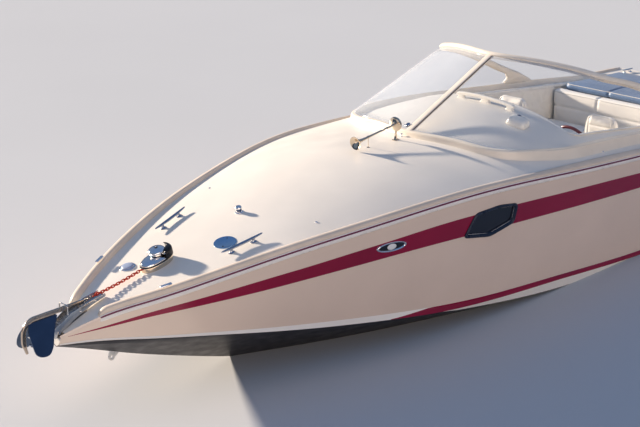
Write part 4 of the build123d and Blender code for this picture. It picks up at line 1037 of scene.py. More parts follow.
# middle mullion: two flat bars with a dark groove between them
mb = Vector((X(3.770), 0, deck_z(3.770, 0) + 0.034))
mt = Vector((X(4.900), 0, 1.856))
ax = (mt - mb).normalized()
fx = axis_frame(mb, ax, (0, 1, 0))
L = (mt - mb).length
b = Build()
b.add(*loft([[fx @ Vector((x, y, z)) for x, y in rrect(0.058, 0.032, 0.009, 5)] for z in (0, L)]), mat=0)
b.add(*loft([[fx @ Vector((x, y, z)) for x, y in rrect(0.064, 0.012, 0.003, 2, 0, -0.004)] for z in (0.0, L)]), mat=1)
b.piece("windscreen_centre_bar", [frame_cream, gasket], replaces="windscreen_mullion", angle=40)

# ------------------------------------------------------------------ cabin side windows
wpts = round_poly(PORT_LIGHT, 0.045, 7)


def window_point(s, z, out=0.0):
    y = side_y(s, z)
    e = 0.02
    a = Vector((X(s - e), side_y(s - e, z), z)) - Vector((X(s + e), side_y(s + e, z), z))
    c = Vector((X(s), side_y(s, z + e), z + e)) - Vector((X(s), side_y(s, z - e), z - e))
    n = a.cross(c).normalized()
    if n.y < 0:
        n = -n
    return Vector((X(s), y, z)) + n * out


b = Build()
prof = [(-0.001, 0.002), (0.0, 0.010), (0.004, 0.016), (0.011, 0.019), (0.018, 0.017), (0.023, 0.011), (0.027, 0.002), (0.033, -0.006), (0.034, -0.016), (0.010, -0.012)]
loops = [[window_point(*q, out=o) for q in inset(wpts, d)] for d, o in prof]
n = len(wpts)
v = [p for lp in loops for p in lp]
f = []
for i in range(len(loops)):
    j = (i + 1) % len(loops)
    for k in range(n):
        q = (k + 1) % n
        f.append((i * n + k, i * n + q, j * n + q, j * n + k))
b.add(v, f).mirror_y().piece("window_frames", [navy], replaces="cabin_window_frames", angle=60)
b = Build()
loop = inset(wpts, 0.030)
v = [window_point(*q, out=-0.009) for q in loop] + [window_point(*q, out=-0.014) for q in loop]
n = len(loop)
f = [tuple(range(n)), tuple(reversed(range(n, 2 * n)))] + [(k, (k + 1) % n, n + (k + 1) % n, n + k) for k in range(n)]
b.add(v, f).mirror_y().piece("window_panes", [dark_pane], replaces="cabin_window_glass", angle=50)

# docking lights: a chrome bezel round a dark oval with a lamp
b = Build()
ls, lz, la, lb = 2.496, 0.931, 0.138, 0.042


def oval(scale_a, scale_b, out, n=48):
    return [window_point(ls + la * scale_a * cos(2 * pi * k / n), lz + lb * scale_b * sin(2 * pi * k / n) - 0.03 * la * scale_a * cos(2 * pi * k / n), out) for k in range(n)]


loops = [oval(1.0, 1.0, 0.004), oval(0.99, 0.985, 0.010), oval(0.95, 0.93, 0.014), oval(0.90, 0.82, 0.014), oval(0.86, 0.74, 0.009), oval(0.84, 0.70, 0.006)]
n = 48
v = [p for lp in loops for p in lp]
f = [(i * n + k, i * n + (k + 1) % n, (i + 1) * n + (k + 1) % n, (i + 1) * n + k) for i in range(len(loops) - 1) for k in range(n)]
b.add(v, f, 0)
back = oval(0.845, 0.71, 0.0065)
b.add(back, [tuple(range(n))], 1)
for cx, rx in ((0.0, 0.30),):
    lamp = []
    for sc, out in ((1.0, 0.007), (0.96, 0.011), (0.75, 0.0135), (0.4, 0.0145)):
        lamp.append([window_point(ls + cx + la * rx * sc * cos(2 * pi * k / 24), lz + lb * 0.62 * sc * sin(2 * pi * k / 24) - 0.03 * la * rx * cos(2 * pi * k / 24), out) for k in range(24)])
    vv, ff = loft(lamp, caps=False)
    ff.append(tuple((len(lamp) - 1) * 24 + k for k in range(24)))
    b.add(vv, ff, 2)
b.mirror_y().piece("docking_lamps", [chrome, dark_pane, lens_white], replaces="docking_lights", angle=50, slot="chrome")

# ------------------------------------------------------------------ bow roller, anchor, chain
CHEEK = [(-0.040, 0.712), (-0.014, 0.712), (0.004, 0.730), (0.062, 0.762), (0.150, 0.810), (0.300, 0.868), (0.426, 0.899), (0.426, 0.922), (0.300, 0.903), (0.120, 0.866), (0.030, 0.812), (-0.022, 0.798), (-0.044, 0.768)]


def xz(y, dy):
    """plane in the fore-and-aft direction: local x forward, y up, z to port"""
    return basis(Vector((0, y, 0)), Vector((1, 0, 0)), Vector((0, 0, 1)), Vector((0, -1, 0)))


b = Build()
outline = round_poly([(X(s), z) for s, z in CHEEK], 0.012, 4)
for y0 in (0.044, -0.038):
    b.add(*slab(outline, 0.0, 0.006, xz(y0, 1), 0.0018), mat=0)
tray = [(0.062, 0.765), (0.150, 0.813), (0.300, 0.871), (0.430, 0.902)]
rings = []
for s, z in tray:
    rings.append([Vector((X(s), y, z + q)) for y, q in ((-0.040, -0.003), (0.040, -0.003), (0.040, 0.003), (-0.040, 0.003))])
b.add(*loft(rings), mat=0)
b.add(*lathe([(0.0, -0.052), (0.010, -0.052), (0.011, -0.050), (0.011, -0.045), (0.007, -0.044), (0.007, 0.044), (0.011, 0.045), (0.011, 0.050), (0.010, 0.052), (0.0, 0.052)], axis_frame((X(0.005), 0, 0.745), (0, 1, 0)), 20), mat=0)
# bail over the shank, and the fixing bolts
bail = arc_path([(X(0.085), -0.047, 0.86), (X(0.085), -0.047, 0.930), (X(0.085), 0.047, 0.930), (X(0.085), 0.047, 0.86)], 0.02)
b.add(*tube(bail, 0.005, 10), mat=0)
for s, z in ((0.20, 0.850), (0.33, 0.893)):
    for y in (-0.046, 0.046):
        b.add(*lathe([(0.0, -0.002), (0.008, -0.002), (0.008, 0.003), (0.005, 0.006), (0.0, 0.0065)], axis_frame((X(s), y, z), (0, 1 if y > 0 else -1, 0)), 14), mat=0)
b.piece("bow_fitting", [steel], replaces="bow_roller_channel", angle=40)
NODES["bow_roller"].data.materials.clear()
NODES["bow_roller"].data.materials.append(roller_rubber)

# stem plate under the roller, following the stem
b = Build()
rings = []
for s, z in ((0.262, 0.842), (0.20, 0.806), (0.13, 0.770), (0.06, 0.738), (0.01, 0.717)):
    hw = min(0.036, at("sheer_y", max(s, 0.0)) * 0.62)
    zz = deck_z(max(s, 0.001), 0.0)
    rings.append([Vector((X(s), y, zz + q)) for y, q in ((-hw, 0.003), (-hw + 0.004, 0.007), (hw - 0.004, 0.007), (hw, 0.003))])
b.add(*loft(rings))
b.piece("stem_plate", [steel], angle=50)

# anchor: shank, crown arm and plough
b = Build()
shank = arc_path([(X(0.255), 0, 0.897), (X(-0.205), 0, 0.897), (X(-0.262), 0, 0.840), (X(-0.268), 0, 0.735), (X(-0.245), 0, 0.660)], 0.09, 10)
rings = []
for i, p in enumerate(shank):
    a, c = shank[max(i - 1, 0)], shank[min(i + 1, len(shank) - 1)]
    t = (c - a).normalized()
    up = Vector((0, 1, 0)).cross(t).normalized()
    k = 1.0 if i < len(shank) - 5 else 1.0 - 0.12 * (i - len(shank) + 5)
    rings.append([p + Vector((0, 1, 0)) * x + up * y for x, y in rrect(0.018, 0.034 * k, 0.004, 3)])
# the shank takes the warm stainless, whose brown tint is a painted reflection
b.add(*loft(rings), mat=0)
for side in (1, -1):
    lean = radians(24)
    zdir = Vector((0, side * cos(lean), sin(lean)))
    o = Vector((X(-0.060), side * 0.004, 0.872))
    down = Vector((0, side * sin(lean), -cos(lean)))
    fx = basis(o, Vector((1, 0, 0)), down, Vector((1, 0, 0)).cross(down))
    out = round_poly([(0.186, 0.035), (0.160, 0.0), (-0.085, 0.0), (-0.045, 0.040), (0.012, 0.120), (0.040, 0.196), (0.082, 0.250), (0.150, 0.240), (0.190, 0.205), (0.198, 0.12)], [0.02, 0.015, 0.012, 0.03, 0.04, 0.04, 0.035, 0.04, 0.03, 0.04], 5)
    rings = []
    for off in (-0.004, 0.004):
        ring = []
        for x, y in out:
            bow = 0.030 * sin(pi * min(1, max(0, y / 0.29))) * side
            ring.append(fx @ Vector((x, y, off)) + Vector((0, bow, 0)))
        rings.append(ring)
    b.add(*loft(rings), mat=1)
# shackle and eye bolts where the arm meets the plough, and the ring at the shank's inner end
b.add(*closed_tube(torus_path(basis(Vector((X(0.243), 0, 0.897)), Vector((1, 0, 0)), Vector((0, 0, 1)), Vector((0, 1, 0))), 0.018, 0.014, 20, 0.012), 0.005, 8), mat=2)
for s, z in ((-0.205, 0.845), (-0.215, 0.775), (-0.205, 0.705)):
    b.add(*lathe([(0.0, -0.016), (0.009, -0.016), (0.011, -0.012), (0.011, 0.012), (0.009, 0.016), (0.0, 0.016)], axis_frame((X(s), 0, z), (0, 1, 0)), 14), mat=2)
b.piece("plough_anchor", [steel_painted_warm_reflection, steel_dark, chrome], replaces="anchor", angle=42)

# chain: welded links, painted red near the windlass and bare at the anchor
ca = Vector((X(0.800), 0, deck_z(0.800, 0) + 0.030))
cb = Vector((X(0.262), 0, 0.903))
cdir = (cb - ca).normalized()
count = int((cb - ca).length / 0.024)
for part_name, mt_, lo_, hi_ in (("chain_painted", chain_red, 0, int(count * 0.90)), ("chain_bare", galvanised, int(count * 0.90), count)):
    b = Build()
    for i in range(lo_, hi_):
        c = ca + cdir * (0.012 + 0.024 * i)
        c = c + Vector((0, 0, -0.010 * sin(pi * i / count)))
        lean = radians(83 if i % 2 else -7)
        sidev = cdir.cross(Vector((0, 0, 1))).normalized()
        yv = sidev * cos(lean) + sidev.cross(cdir) * sin(lean)
        fx = basis(c, cdir, yv, cdir.cross(yv))
        b.add(*closed_tube(torus_path(fx, 0.0095, 0.0095, 20, 0.0135), 0.0039, 8))
    b.piece(part_name, [mt_], replaces=["anchor_chain"] if lo_ == 0 else (), angle=60)

# ------------------------------------------------------------------ windlass
wl = deck_frame(0.945, 0.0, 0.001)
b = Build()


def capsule(a, c, n=48, squeeze=2.4):
    """long oval in the local xy plane"""
    out = []
    for k in range(n):
        t = 2 * pi * k / n
        x, y = cos(t), sin(t)
        out.append((a * math.copysign(abs(x) ** (2 / squeeze), x), c * math.copysign(abs(y) ** (2 / squeeze), y)))
    return out


def stack(levels, matrix, n=48, shift=0.0, cap=True):
    rings = [[matrix @ Vector((x + sh, y, z)) for x, y in capsule(a, c, n, sq)] for a, c, z, sq, sh in levels]
    return loft(rings)


# the base band takes the warm chrome, whose gold tint is a painted reflection
b.add(*stack([(0.139, 0.079, 0.0, 2.3, 0), (0.1415, 0.0815, 0.002, 2.3, 0), (0.1415, 0.0815, 0.030, 2.3, 0), (0.140, 0.080, 0.036, 2.3, 0), (0.136, 0.076, 0.0385, 2.3, 0)], wl, 64), mat=2)
b.add(*stack([(0.1355, 0.0755, 0.038, 2.3, 0), (0.1365, 0.0765, 0.041, 2.3, 0), (0.1355, 0.0755, 0.0455, 2.3, 0)], wl, 64), mat=1)
b.add(*stack([(0.134, 0.074, 0.045, 2.3, 0), (0.1345, 0.0745, 0.048, 2.3, 0), (0.131, 0.072, 0.055, 2.3, 0), (0.122, 0.067, 0.063, 2.25, 0.001), (0.104, 0.058, 0.0705, 2.2, 0.003), (0.078, 0.045, 0.0745, 2.1, 0.004), (0.045, 0.028, 0.0755, 2.0, 0.004)], wl, 64), mat=0)
# black housing over the aft and port quarter
rings = []
for a, c, z in ((0.0745, 0.0765, 0.046), (0.0765, 0.0780, 0.052), (0.0765, 0.0780, 0.090), (0.0745, 0.0760, 0.104), (0.068, 0.069, 0.113), (0.054, 0.055, 0.118)):
    ring = []
    for k in range(33):
        t = -pi * 0.18 + pi * 0.68 * k / 32
        ring.append(wl @ Vector((-0.070 - a * abs(cos(t)) ** 0.8 * (1 if cos(t) > 0 else -1), c * sin(t), z)))
    ring.append(wl @ Vector((-0.040, c, z)))
    ring.append(wl @ Vector((-0.112, 0.020, z)))
    ring.append(wl @ Vector((-0.122, -0.020, z)))
    rings.append(ring)
b.add(*loft(rings), mat=1)
b.piece("windlass_body", [chrome, black_gloss, chrome_painted_warm_reflection], replaces="windlass_base", angle=40)
b = Build()
gx = wl @ Matrix.Translation((-0.025, 0, 0))
b.add(*lathe([(0.0, 0.079), (0.046, 0.079), (0.050, 0.0805), (0.0535, 0.083), (0.048, 0.0875), (0.0445, 0.091), (0.050, 0.095), (0.059, 0.0985), (0.0635, 0.102), (0.0652, 0.1065), (0.0650, 0.111), (0.062, 0.116), (0.054, 0.1225), (0.043, 0.1272), (0.030, 0.1302), (0.020, 0.1315), (0.0175, 0.1325), (0.0165, 0.132), (0.0150, 0.1295), (0.0, 0.129)], gx, 56), mat=0)
for k in range(10):
    a = 2 * pi * k / 10
    fx2 = gx @ Matrix.Rotation(a, 4, "Z")
    b.add(*rounded_box((0.0445, -0.0035, 0.083), (0.0525, 0.0035, 0.096), 0.002, 2), mat=0, matrix=fx2)
b.add(*lathe([(0.0, 0.129), (0.0120, 0.129), (0.0120, 0.1312), (0.0, 0.1314)], gx, 18), mat=1)
b.piece("windlass_cap", [chrome, black_gloss], replaces="windlass_gypsy", body="windlass_gypsy", angle=32)

# ------------------------------------------------------------------ foot switch, deck plate
fs = deck_frame(0.805, -0.170, 0.001)
b = Build()
b.add(*lathe([(0.0, 0.0), (0.058, 0.0), (0.061, 0.002), (0.061, 0.006), (0.058, 0.009), (0.054, 0.010), (0.050, 0.0095), (0.0, 0.0095)], fs, 48), mat=0)
b.add(*lathe([(0.047, 0.0094), (0.0475, 0.013), (0.043, 0.0175), (0.030, 0.0205), (0.015, 0.0215), (0.0, 0.0218)], fs, 48), mat=1)
b.piece("foot_button", [chrome, pad_grey], replaces="foot_switch", angle=40, slot="chrome")
dp = deck_frame(1.410, 0.240, 0.0015) @ Matrix.Scale(0.925, 4)
b = Build()
# the plate's blue is painted sky reflection
b.add(*lathe([(0.0, 0.001), (0.092, 0.001), (0.0945, 0.002), (0.094, 0.0045), (0.091, 0.0058), (0.086, 0.0062), (0.084, 0.0052), (0.0, 0.0052)], dp, 64), mat=0)
for a in (0, 180):
    fx2 = dp @ Matrix.Rotation(radians(a + 30), 4, "Z")
    b.add(*lathe([(0.0, 0.0045), (0.006, 0.0045), (0.006, 0.0060), (0.0, 0.0064)], fx2 @ Matrix.Translation((0.062, 0, 0)), 14), mat=1)
b.piece("deck_plate_cover", [plate_painted_sky_reflection, black_gloss], replaces="deck_plate", angle=40)


# ------------------------------------------------------------------ cleats
def cleat_mesh(b, fx, length):
    """two oval feet under a long horn bar that thins and lifts towards its ends"""
    for sx in (-1, 1):
        rings = []
        for z, a, c in ((0.0, 0.027, 0.019), (0.003, 0.027, 0.019), (0.008, 0.018, 0.012), (0.018, 0.0125, 0.0085), (0.030, 0.014, 0.0095)):
            rings.append([fx @ Vector((sx * length * 0.26 + a * cos(t), c * sin(t), z)) for t in [2 * pi * k / 20 for k in range(20)]])
        b.add(*loft(rings))
    pts, rad = [], []
    n = 28
    for i in range(n + 1):
        t = -1 + 2 * i / n
        pts.append(Vector((t * length / 2 * 0.985, 0, 0.032 + 0.007 * t * t)))
        k = 1 - abs(t) ** 2.2 * 0.55
        if abs(t) > 0.93:
            k *= sqrt(max(0.02, 1 - ((abs(t) - 0.93) / 0.07) ** 2))
        rad.append(0.0118 * k)
    rings = []
    for p, r in zip(pts, rad):
        rings.append([fx @ (p + Vector((0, 1.15 * r * cos(a), r * sin(a)))) for a in [2 * pi * k / 14 for k in range(14)]])
    b.add(*loft(rings))


b = Build()
cleat_mesh(b, deck_frame(1.438, 0.402, 0.003, -9), 0.384)
cleat_mesh(b, deck_frame(1.438, -0.402, 0.003, 9), 0.384)
b.piece("bow_horn_cleats", [chrome_dark], replaces="bow_cleats", angle=45)
b = Build()
cleat_mesh(b, deck_frame(8.690, 0.960, 0.003), 0.220)
cleat_mesh(b, deck_frame(8.690, -0.960, 0.003), 0.220)
b.piece("stern_horn_cleats", [chrome], replaces="stern_cleats", angle=45)

# ------------------------------------------------------------------ bow light
nl = deck_frame(1.785, 0.0, 0.001) @ Matrix.Scale(1.14, 4)
b = Build()
b.add(*lathe([(0.0, 0.0), (0.029, 0.0), (0.030, 0.002), (0.029, 0.006), (0.025, 0.008), (0.021, 0.010), (0.020, 0.014)], nl, 36), mat=0)
b.add(*lathe([(0.0195, 0.013), (0.0205, 0.020), (0.0205, 0.032)], nl, 36), mat=1)
b.add(*lathe([(0.0215, 0.031), (0.0235, 0.034), (0.0232, 0.040), (0.020, 0.046), (0.014, 0.0505), (0.006, 0.0525), (0.0, 0.053)], nl, 36), mat=0)
b.piece("bow_lamp", [chrome, lens_blue], replaces="bow_light", angle=45)

# ------------------------------------------------------------------ trumpet horn
ha, hb = Vector((X(3.102), 0, 1.428)), Vector((X(3.628), 0, 1.490))
hd = (hb - ha).normalized()
hx = axis_frame(ha, hd)
hl = (hb - ha).length
b = Build()
bell = [(0.0, 0.044), (0.012, 0.032), (0.025, 0.017), (0.040, 0.007), (0.052, 0.0015), (0.0565, 0.0), (0.0578, 0.0015), (0.0574, 0.0045), (0.050, 0.0085), (0.038, 0.017), (0.027, 0.032), (0.018, 0.056), (0.0128, 0.095), (0.0100, 0.15), (0.0088, 0.23), (0.0082, hl - 0.056), (0.011, hl - 0.050), (0.013, hl - 0.038), (0.0, hl - 0.038)]
b.add(*lathe(bell, hx, 40), mat=0)
disc = [(0.0, hl - 0.042), (0.020, hl - 0.042), (0.026, hl - 0.036), (0.050, hl - 0.031), (0.0590, hl - 0.028), (0.0618, hl - 0.022), (0.0618, hl - 0.014), (0.0590, hl - 0.010), (0.056, hl - 0.009), (0.055, hl - 0.002), (0.046, hl + 0.003), (0.026, hl + 0.005), (0.0, hl + 0.006)]
b.add(*lathe(disc, hx, 48), mat=0)
for k in range(8):
    a = 2 * pi * k / 8
    fx2 = hx @ Matrix.Rotation(a, 4, "Z") @ Matrix.Translation((0.0572, 0, hl - 0.011))
    b.add(*lathe([(0.0, 0.0), (0.0032, 0.0), (0.0032, 0.003), (0.0, 0.004)], fx2, 8), mat=0)
# bracket under the diaphragm and the strut near the bell
ft = deck_frame(3.612, 0.0, 0.002)
b.add(*slab(rrect(0.064, 0.044, 0.012, 5), 0.0, 0.006, ft, 0.002), mat=0)
for sx in (-1, 1):
    b.add(*lathe([(0.0, 0.005), (0.0045, 0.005), (0.0045, 0.008), (0.0, 0.0095)], ft @ Matrix.Translation((sx * 0.023, 0, 0)), 10), mat=0)
foot = on_deck(3.612, 0.0, 0.006)
top = ha + hd * (hl - 0.024)
rings = []
for t, w, d in ((0.0, 0.034, 0.026), (0.12, 0.024, 0.014), (0.5, 0.020, 0.010), (0.85, 0.026, 0.010), (1.0, 0.034, 0.010)):
    p = foot.lerp(Vector((foot.x, 0, ha.z + 0.0)) + Vector((0, 0, 0.014)), t)
    rings.append([p + Vector((x, y, 0)) for x, y in rrect(d, w, 0.004, 3)])
b.add(*loft(rings), mat=0)
st = on_deck(3.265, 0.0, 0.001)
sx_ = ha + hd * ((3.265 - 3.102) * hl / 0.526)
b.add(*lathe([(0.0, 0.0), (0.013, 0.0), (0.0135, 0.002), (0.012, 0.004), (0.005, 0.006), (0.0035, 0.010)], deck_frame(3.265, 0.0, 0.001), 20), mat=0)
b.add(*tube([st + Vector((0, 0, 0.006)), st.lerp(sx_, 0.5), sx_ - Vector((0, 0, 0.006))], 0.0032, 10), mat=0)
b.add(*lathe([(0.0095, -0.008), (0.0125, -0.006), (0.0125, 0.006), (0.0095, 0.008)], axis_frame(sx_, hd), 20), mat=0)
# the horn is all warm chrome, whose gold tint is a painted reflection
b.piece("trumpet_horn", [chrome_painted_warm_reflection], replaces="horn", angle=38)

kn = deck_frame(3.726, -0.030, 0.001) @ Matrix.Scale(0.86, 4)
b = Build()
b.add(*lathe([(0.0, 0.0), (0.0145, 0.0), (0.015, 0.002), (0.012, 0.005), (0.008, 0.007), (0.007, 0.013), (0.010, 0.017), (0.0145, 0.021), (0.015, 0.026), (0.012, 0.0315), (0.006, 0.0335), (0.0, 0.034)], kn, 28), mat=0)
b.piece("screen_knob", [chrome], replaces="mullion_knob", angle=40)


# screen latch beside the foot of the middle bar
la = Vector((X(3.850), -0.048, 1.398))
b = Build()
lx = axis_frame(la, Vector((0.55, -0.25, 0.80)).normalized(), (0, 1, 0))
b.add(*lathe([(0.0, -0.012), (0.012, -0.012), (0.013, -0.004), (0.009, 0.002), (0.009, 0.010), (0.016, 0.014), (0.0225, 0.020), (0.0240, 0.028), (0.0215, 0.036), (0.014, 0.041), (0.0, 0.042)], lx, 32), mat=0)
b.add(*rounded_box((-0.052, -0.011, 0.016), (0.006, 0.011, 0.030), 0.005, 3), mat=0, matrix=lx)
b.piece("screen_latch", [chrome_dark], angle=40)

# small chrome studs and chocks on the gunwale
b = Build()
for s, y, r in ((3.10, 1.075, 0.015), (5.05, 1.130, 0.012), (2.02, 0.600, 0.010), (6.9, 1.120, 0.012)):
    for sg in (1, -1):
        fx2 = deck_frame(s, sg * y, 0.002)
        b.add(*lathe([(0.0, 0.0), (r, 0.0), (r * 1.03, 0.0015), (r * 0.95, 0.004), (r * 0.6, 0.0065), (0.0, 0.0075)], fx2, 20), mat=0)
for sg in (1, -1):
    s = 0.72
    fx2 = deck_frame(s, sg * (at("sheer_y", s) - 0.032), 0.060, -sg * 20)
    b.add(*rounded_box((-0.045, -0.013, -0.004), (0.045, 0.013, 0.010), 0.006), mat=0, matrix=fx2)
b.piece("deck_studs", [chrome], angle=40)

# ------------------------------------------------------------------ grab rail on the dash, compass
b = Build()
g0, g1, gs = -0.245, 0.395, 4.745
n = 40
for part_lo, part_hi in ((0.032, 0.060),):
    rings = []
    for i in range(n + 1):
        y = g0 + (g1 - g0) * i / n
        e = min(i, n - i) / 3.0
        k = sqrt(max(0.0, 1 - (1 - min(1, e)) ** 2))
        z = deck_z(gs, y)
        rings.append([Vector((X(gs) + px_, y, z + (part_lo + part_hi) / 2 + qz * (0.6 + 0.4 * k))) for px_, qz in rrect(0.034, 0.030, 0.009, 4)])
    b.add(*loft(rings), mat=0)
for yc, hw in ((g0 + 0.046, 0.044), ((g0 + g1) / 2, 0.054), (g1 - 0.046, 0.044)):
    rings = []
    for t in (0.0, 0.15, 0.5, 0.85, 1.0):
        w = hw * (1.25 - 0.5 * sin(pi * t) ** 0.8)
        rings.append([Vector((X(gs) + px_, yc + qy, deck_z(gs, yc + qy) + 0.002 + t * 0.044)) for px_, qy in rrect(0.032, 2 * w, 0.012, 4)])
    b.add(*loft(rings), mat=0)
b.piece("dash_grab_rail", [deck_smooth], replaces="hatch_grip", angle=50)

cx_ = deck_frame(4.555, 0.575, 0.003, 10)
b = Build()
levels = [(0.074, 0.094, 0.0, 4.2, 0), (0.075, 0.095, 0.004, 4.2, 0), (0.073, 0.092, 0.022, 4.0, -0.001), (0.070, 0.087, 0.040, 3.8, -0.003), (0.064, 0.080, 0.051, 3.6, -0.005), (0.052, 0.066, 0.058, 3.2, -0.008), (0.030, 0.040, 0.061, 2.8, -0.011), (0.008, 0.012, 0.062, 2.4, -0.013)]
b.add(*stack(levels, cx_), mat=0)
dome = axis_frame(cx_ @ Vector((-0.050, -0.026, 0.030)), (cx_.to_3x3() @ Vector((-0.75, -0.1, 0.65))))
b.add(*lathe([(0.0, -0.006), (0.036, -0.006), (0.038, 0.0), (0.036, 0.006), (0.033, 0.007)], dome, 32), mat=2)
b.add(*lathe([(0.0335, 0.005), (0.031, 0.016), (0.024, 0.026), (0.013, 0.032), (0.0, 0.034)], dome, 32), mat=1)
b.piece("dash_compass", [deck_smooth, lens_blue, chrome], replaces="compass_pod", angle=45, slot="gelcoat_deck")

# ------------------------------------------------------------------ helm: console, wheel, throttle
def gauge(b, fx, r, mats=(2, 3)):
    """round instrument: chrome bezel, dark dial, pointer and glass"""
    b.add(*lathe([(0.0, 0.0), (r, 0.0), (r * 1.02, 0.002), (r * 0.99, 0.006), (r * 0.90, 0.008), (r * 0.84, 0.0065), (r * 0.82, 0.004), (0.0, 0.004)], fx, 36), mat=mats[0])
    b.add(*lathe([(0.0, 0.0042), (r * 0.815, 0.0042), (r * 0.80, 0.0058), (r * 0.4, 0.0068), (0.0, 0.0071)], fx, 30), mat=mats[1])


b = Build()
console = round_poly([(X(s), z) for s, z in ((4.932, 0.560), (4.932, 1.180), (5.040, 1.212), (5.150, 1.120), (5.110, 0.820), (5.040, 0.560))], [0.006, 0.03, 0.035, 0.035, 0.08, 0.03], 5)
b.add(*slab(console, 0.0, 0.54, xz(0.85, 1), 0.016, 5), mat=0)
dn = Vector((-0.6416, 0, 0.767)).normalized()
dc = Vector((X(5.094), 0.585, 1.169))
dfx = axis_frame(dc, dn, (0, 1, 0))
b.add(*slab(rrect(0.470, 0.098, 0.022, 5), -0.004, 0.004, dfx, 0.002), mat=1)
for gx_, gy_, gr in ((-0.185, 0.0, 0.031), (-0.105, 0.0, 0.031), (-0.010, 0.0, 0.040), (0.085, 0.0, 0.040), (0.165, 0.010, 0.027)):
    gauge(b, dfx @ Matrix.Translation((gx_, gy_, 0.004)), gr)
for k in range(4):
    b.add(*rounded_box((0.135 + 0.019 * k, -0.040, 0.003), (0.149 + 0.019 * k, -0.022, 0.009), 0.003, 2), mat=1, matrix=dfx)
# switch panel and ignition on the face under the gauges
sn = Vector((-0.991, 0, 0.132)).normalized()
sfx = axis_frame((X(5.134), 0.430, 1.000), sn, (0, 1, 0))
b.add(*slab(rrect(0.150, 0.090, 0.014, 4), -0.003, 0.004, sfx, 0.0015), mat=1)
for i in range(5):
    b.add(*rounded_box((-0.062 + 0.026 * i, -0.026, 0.003), (-0.044 + 0.026 * i, 0.012, 0.011), 0.003, 2), mat=3, matrix=sfx)
b.add(*lathe([(0.0, 0.003), (0.010, 0.003), (0.011, 0.006), (0.009, 0.009), (0.0, 0.0095)], sfx @ Matrix.Translation((0.0, 0.030, 0)), 20), mat=2)
b.piece("helm_dash", [deck_smooth, black_gloss, chrome, dark_pane], replaces="helm_console", angle=40, slot="gelcoat_deck")

wa = Vector((-cos(radians(25)), 0, sin(radians(25))))
wc = Vector((X(5.3), 0.65, 1.085))
wfx = axis_frame(wc, wa, (0, 1, 0))
b = Build()
n_r = 96
v, f = [], []
for i in range(n_r):
    a = 2 * pi * i / n_r
    grip = 0.0012 * (1 + sin(a * 30)) if abs(sin(a)) < 0.82 else 0.0
    for k in range(14):
        w = 2 * pi * k / 14
        inner = 1.0 if cos(w) < 0 else 0.0
        rr = 0.0150 - grip * inner
        v.append(wfx @ Vector(((0.168 + rr * cos(w)) * cos(a), (0.168 + rr * cos(w)) * sin(a), 0.0136 * sin(w))))
for i in range(n_r):
    for k in range(14):
        f.append((i * 14 + k, ((i + 1) % n_r) * 14 + k, ((i + 1) % n_r) * 14 + (k + 1) % 14, i * 14 + (k + 1) % 14))
b.add(v, f, 0)
for deg in (90, 210, 330):
    sp = wfx @ Matrix.Rotation(radians(deg), 4, "Z")
    rings = []
    for r_, w_, z_ in ((0.022, 0.044, -0.006), (0.045, 0.038, -0.008), (0.075, 0.030, -0.008), (0.120, 0.026, -0.005), (0.150, 0.030, -0.001), (0.160, 0.034, 0.0)):
        rings.append([sp @ Vector((r_, y, z_ + z)) for y, z in rrect(w_, 0.0075, 0.003, 3)])
    b.add(*loft(rings), mat=1)
    for r_ in (0.072, 0.095, 0.118):
        b.add(*lathe([(0.0, -0.0015), (0.0062, -0.0015), (0.0070, -0.0005), (0.0062, 0.0002), (0.0050, -0.0009), (0.0, -0.0009)], sp @ Matrix.Translation((r_, 0, -0.0025 if r_ < 0.1 else -0.0005)), 18), mat=2)
b.add(*lathe([(0.0, -0.028), (0.029, -0.028), (0.0335, -0.024), (0.0335, -0.008), (0.0315, 0.004), (0.026, 0.011), (0.017, 0.0135), (0.0, 0.0138)], wfx, 40), mat=1)
b.add(*lathe([(0.0325, -0.006), (0.0345, -0.003), (0.0345, 0.001), (0.0320, 0.003)], wfx, 40), mat=2)
b.piece("helm_wheel", [wheel_leather, black_gloss, chrome], replaces="steering_wheel", body="steering_wheel", angle=45)

b = Build()
b.add(*rounded_box((X(5.203), 0.296, 0.937), (X(5.097), 0.312, 1.083), 0.007, 4), mat=0)
pv = axis_frame((X(5.168), 0.297, 1.035), (0, -1, 0))
b.add(*lathe([(0.0, 0.0), (0.034, 0.0), (0.036, 0.003), (0.033, 0.008), (0.024, 0.012), (0.016, 0.014), (0.0, 0.0145)], pv, 36), mat=1)
rings = []
for t_, w_, d_, yy in ((0.0, 0.030, 0.008, 0.290), (0.25, 0.024, 0.009, 0.287), (0.6, 0.019, 0.010, 0.284), (1.0, 0.017, 0.012, 0.284)):
    p = Vector((X(5.168) - 0.003 * t_, yy, 1.035 + 0.160 * t_))
    rings.append([p + Vector((x, y, 0)) for x, y in rrect(w_, d_, 0.0038, 3)])
b.add(*loft(rings), mat=1)
b.add(*lathe([(0.0, -0.030), (0.009, -0.030), (0.0135, -0.026), (0.0155, -0.015), (0.0150, 0.0), (0.0155, 0.015), (0.0135, 0.026), (0.009, 0.030), (0.0, 0.030)], axis_frame((X(5.171), 0.285, 1.200), (0, 1, 0)), 28), mat=2)
b.add(*lathe([(0.0, 0.0), (0.0055, 0.0), (0.006, 0.002), (0.0055, 0.0045), (0.0, 0.005)], axis_frame((X(5.171), 0.2555, 1.200), (0, -1, 0)), 16), mat=3)
b.piece("throttle_lever", [black_gloss, chrome, black_rubber, chain_red], replaces="throttle", angle=40, slot="chrome")

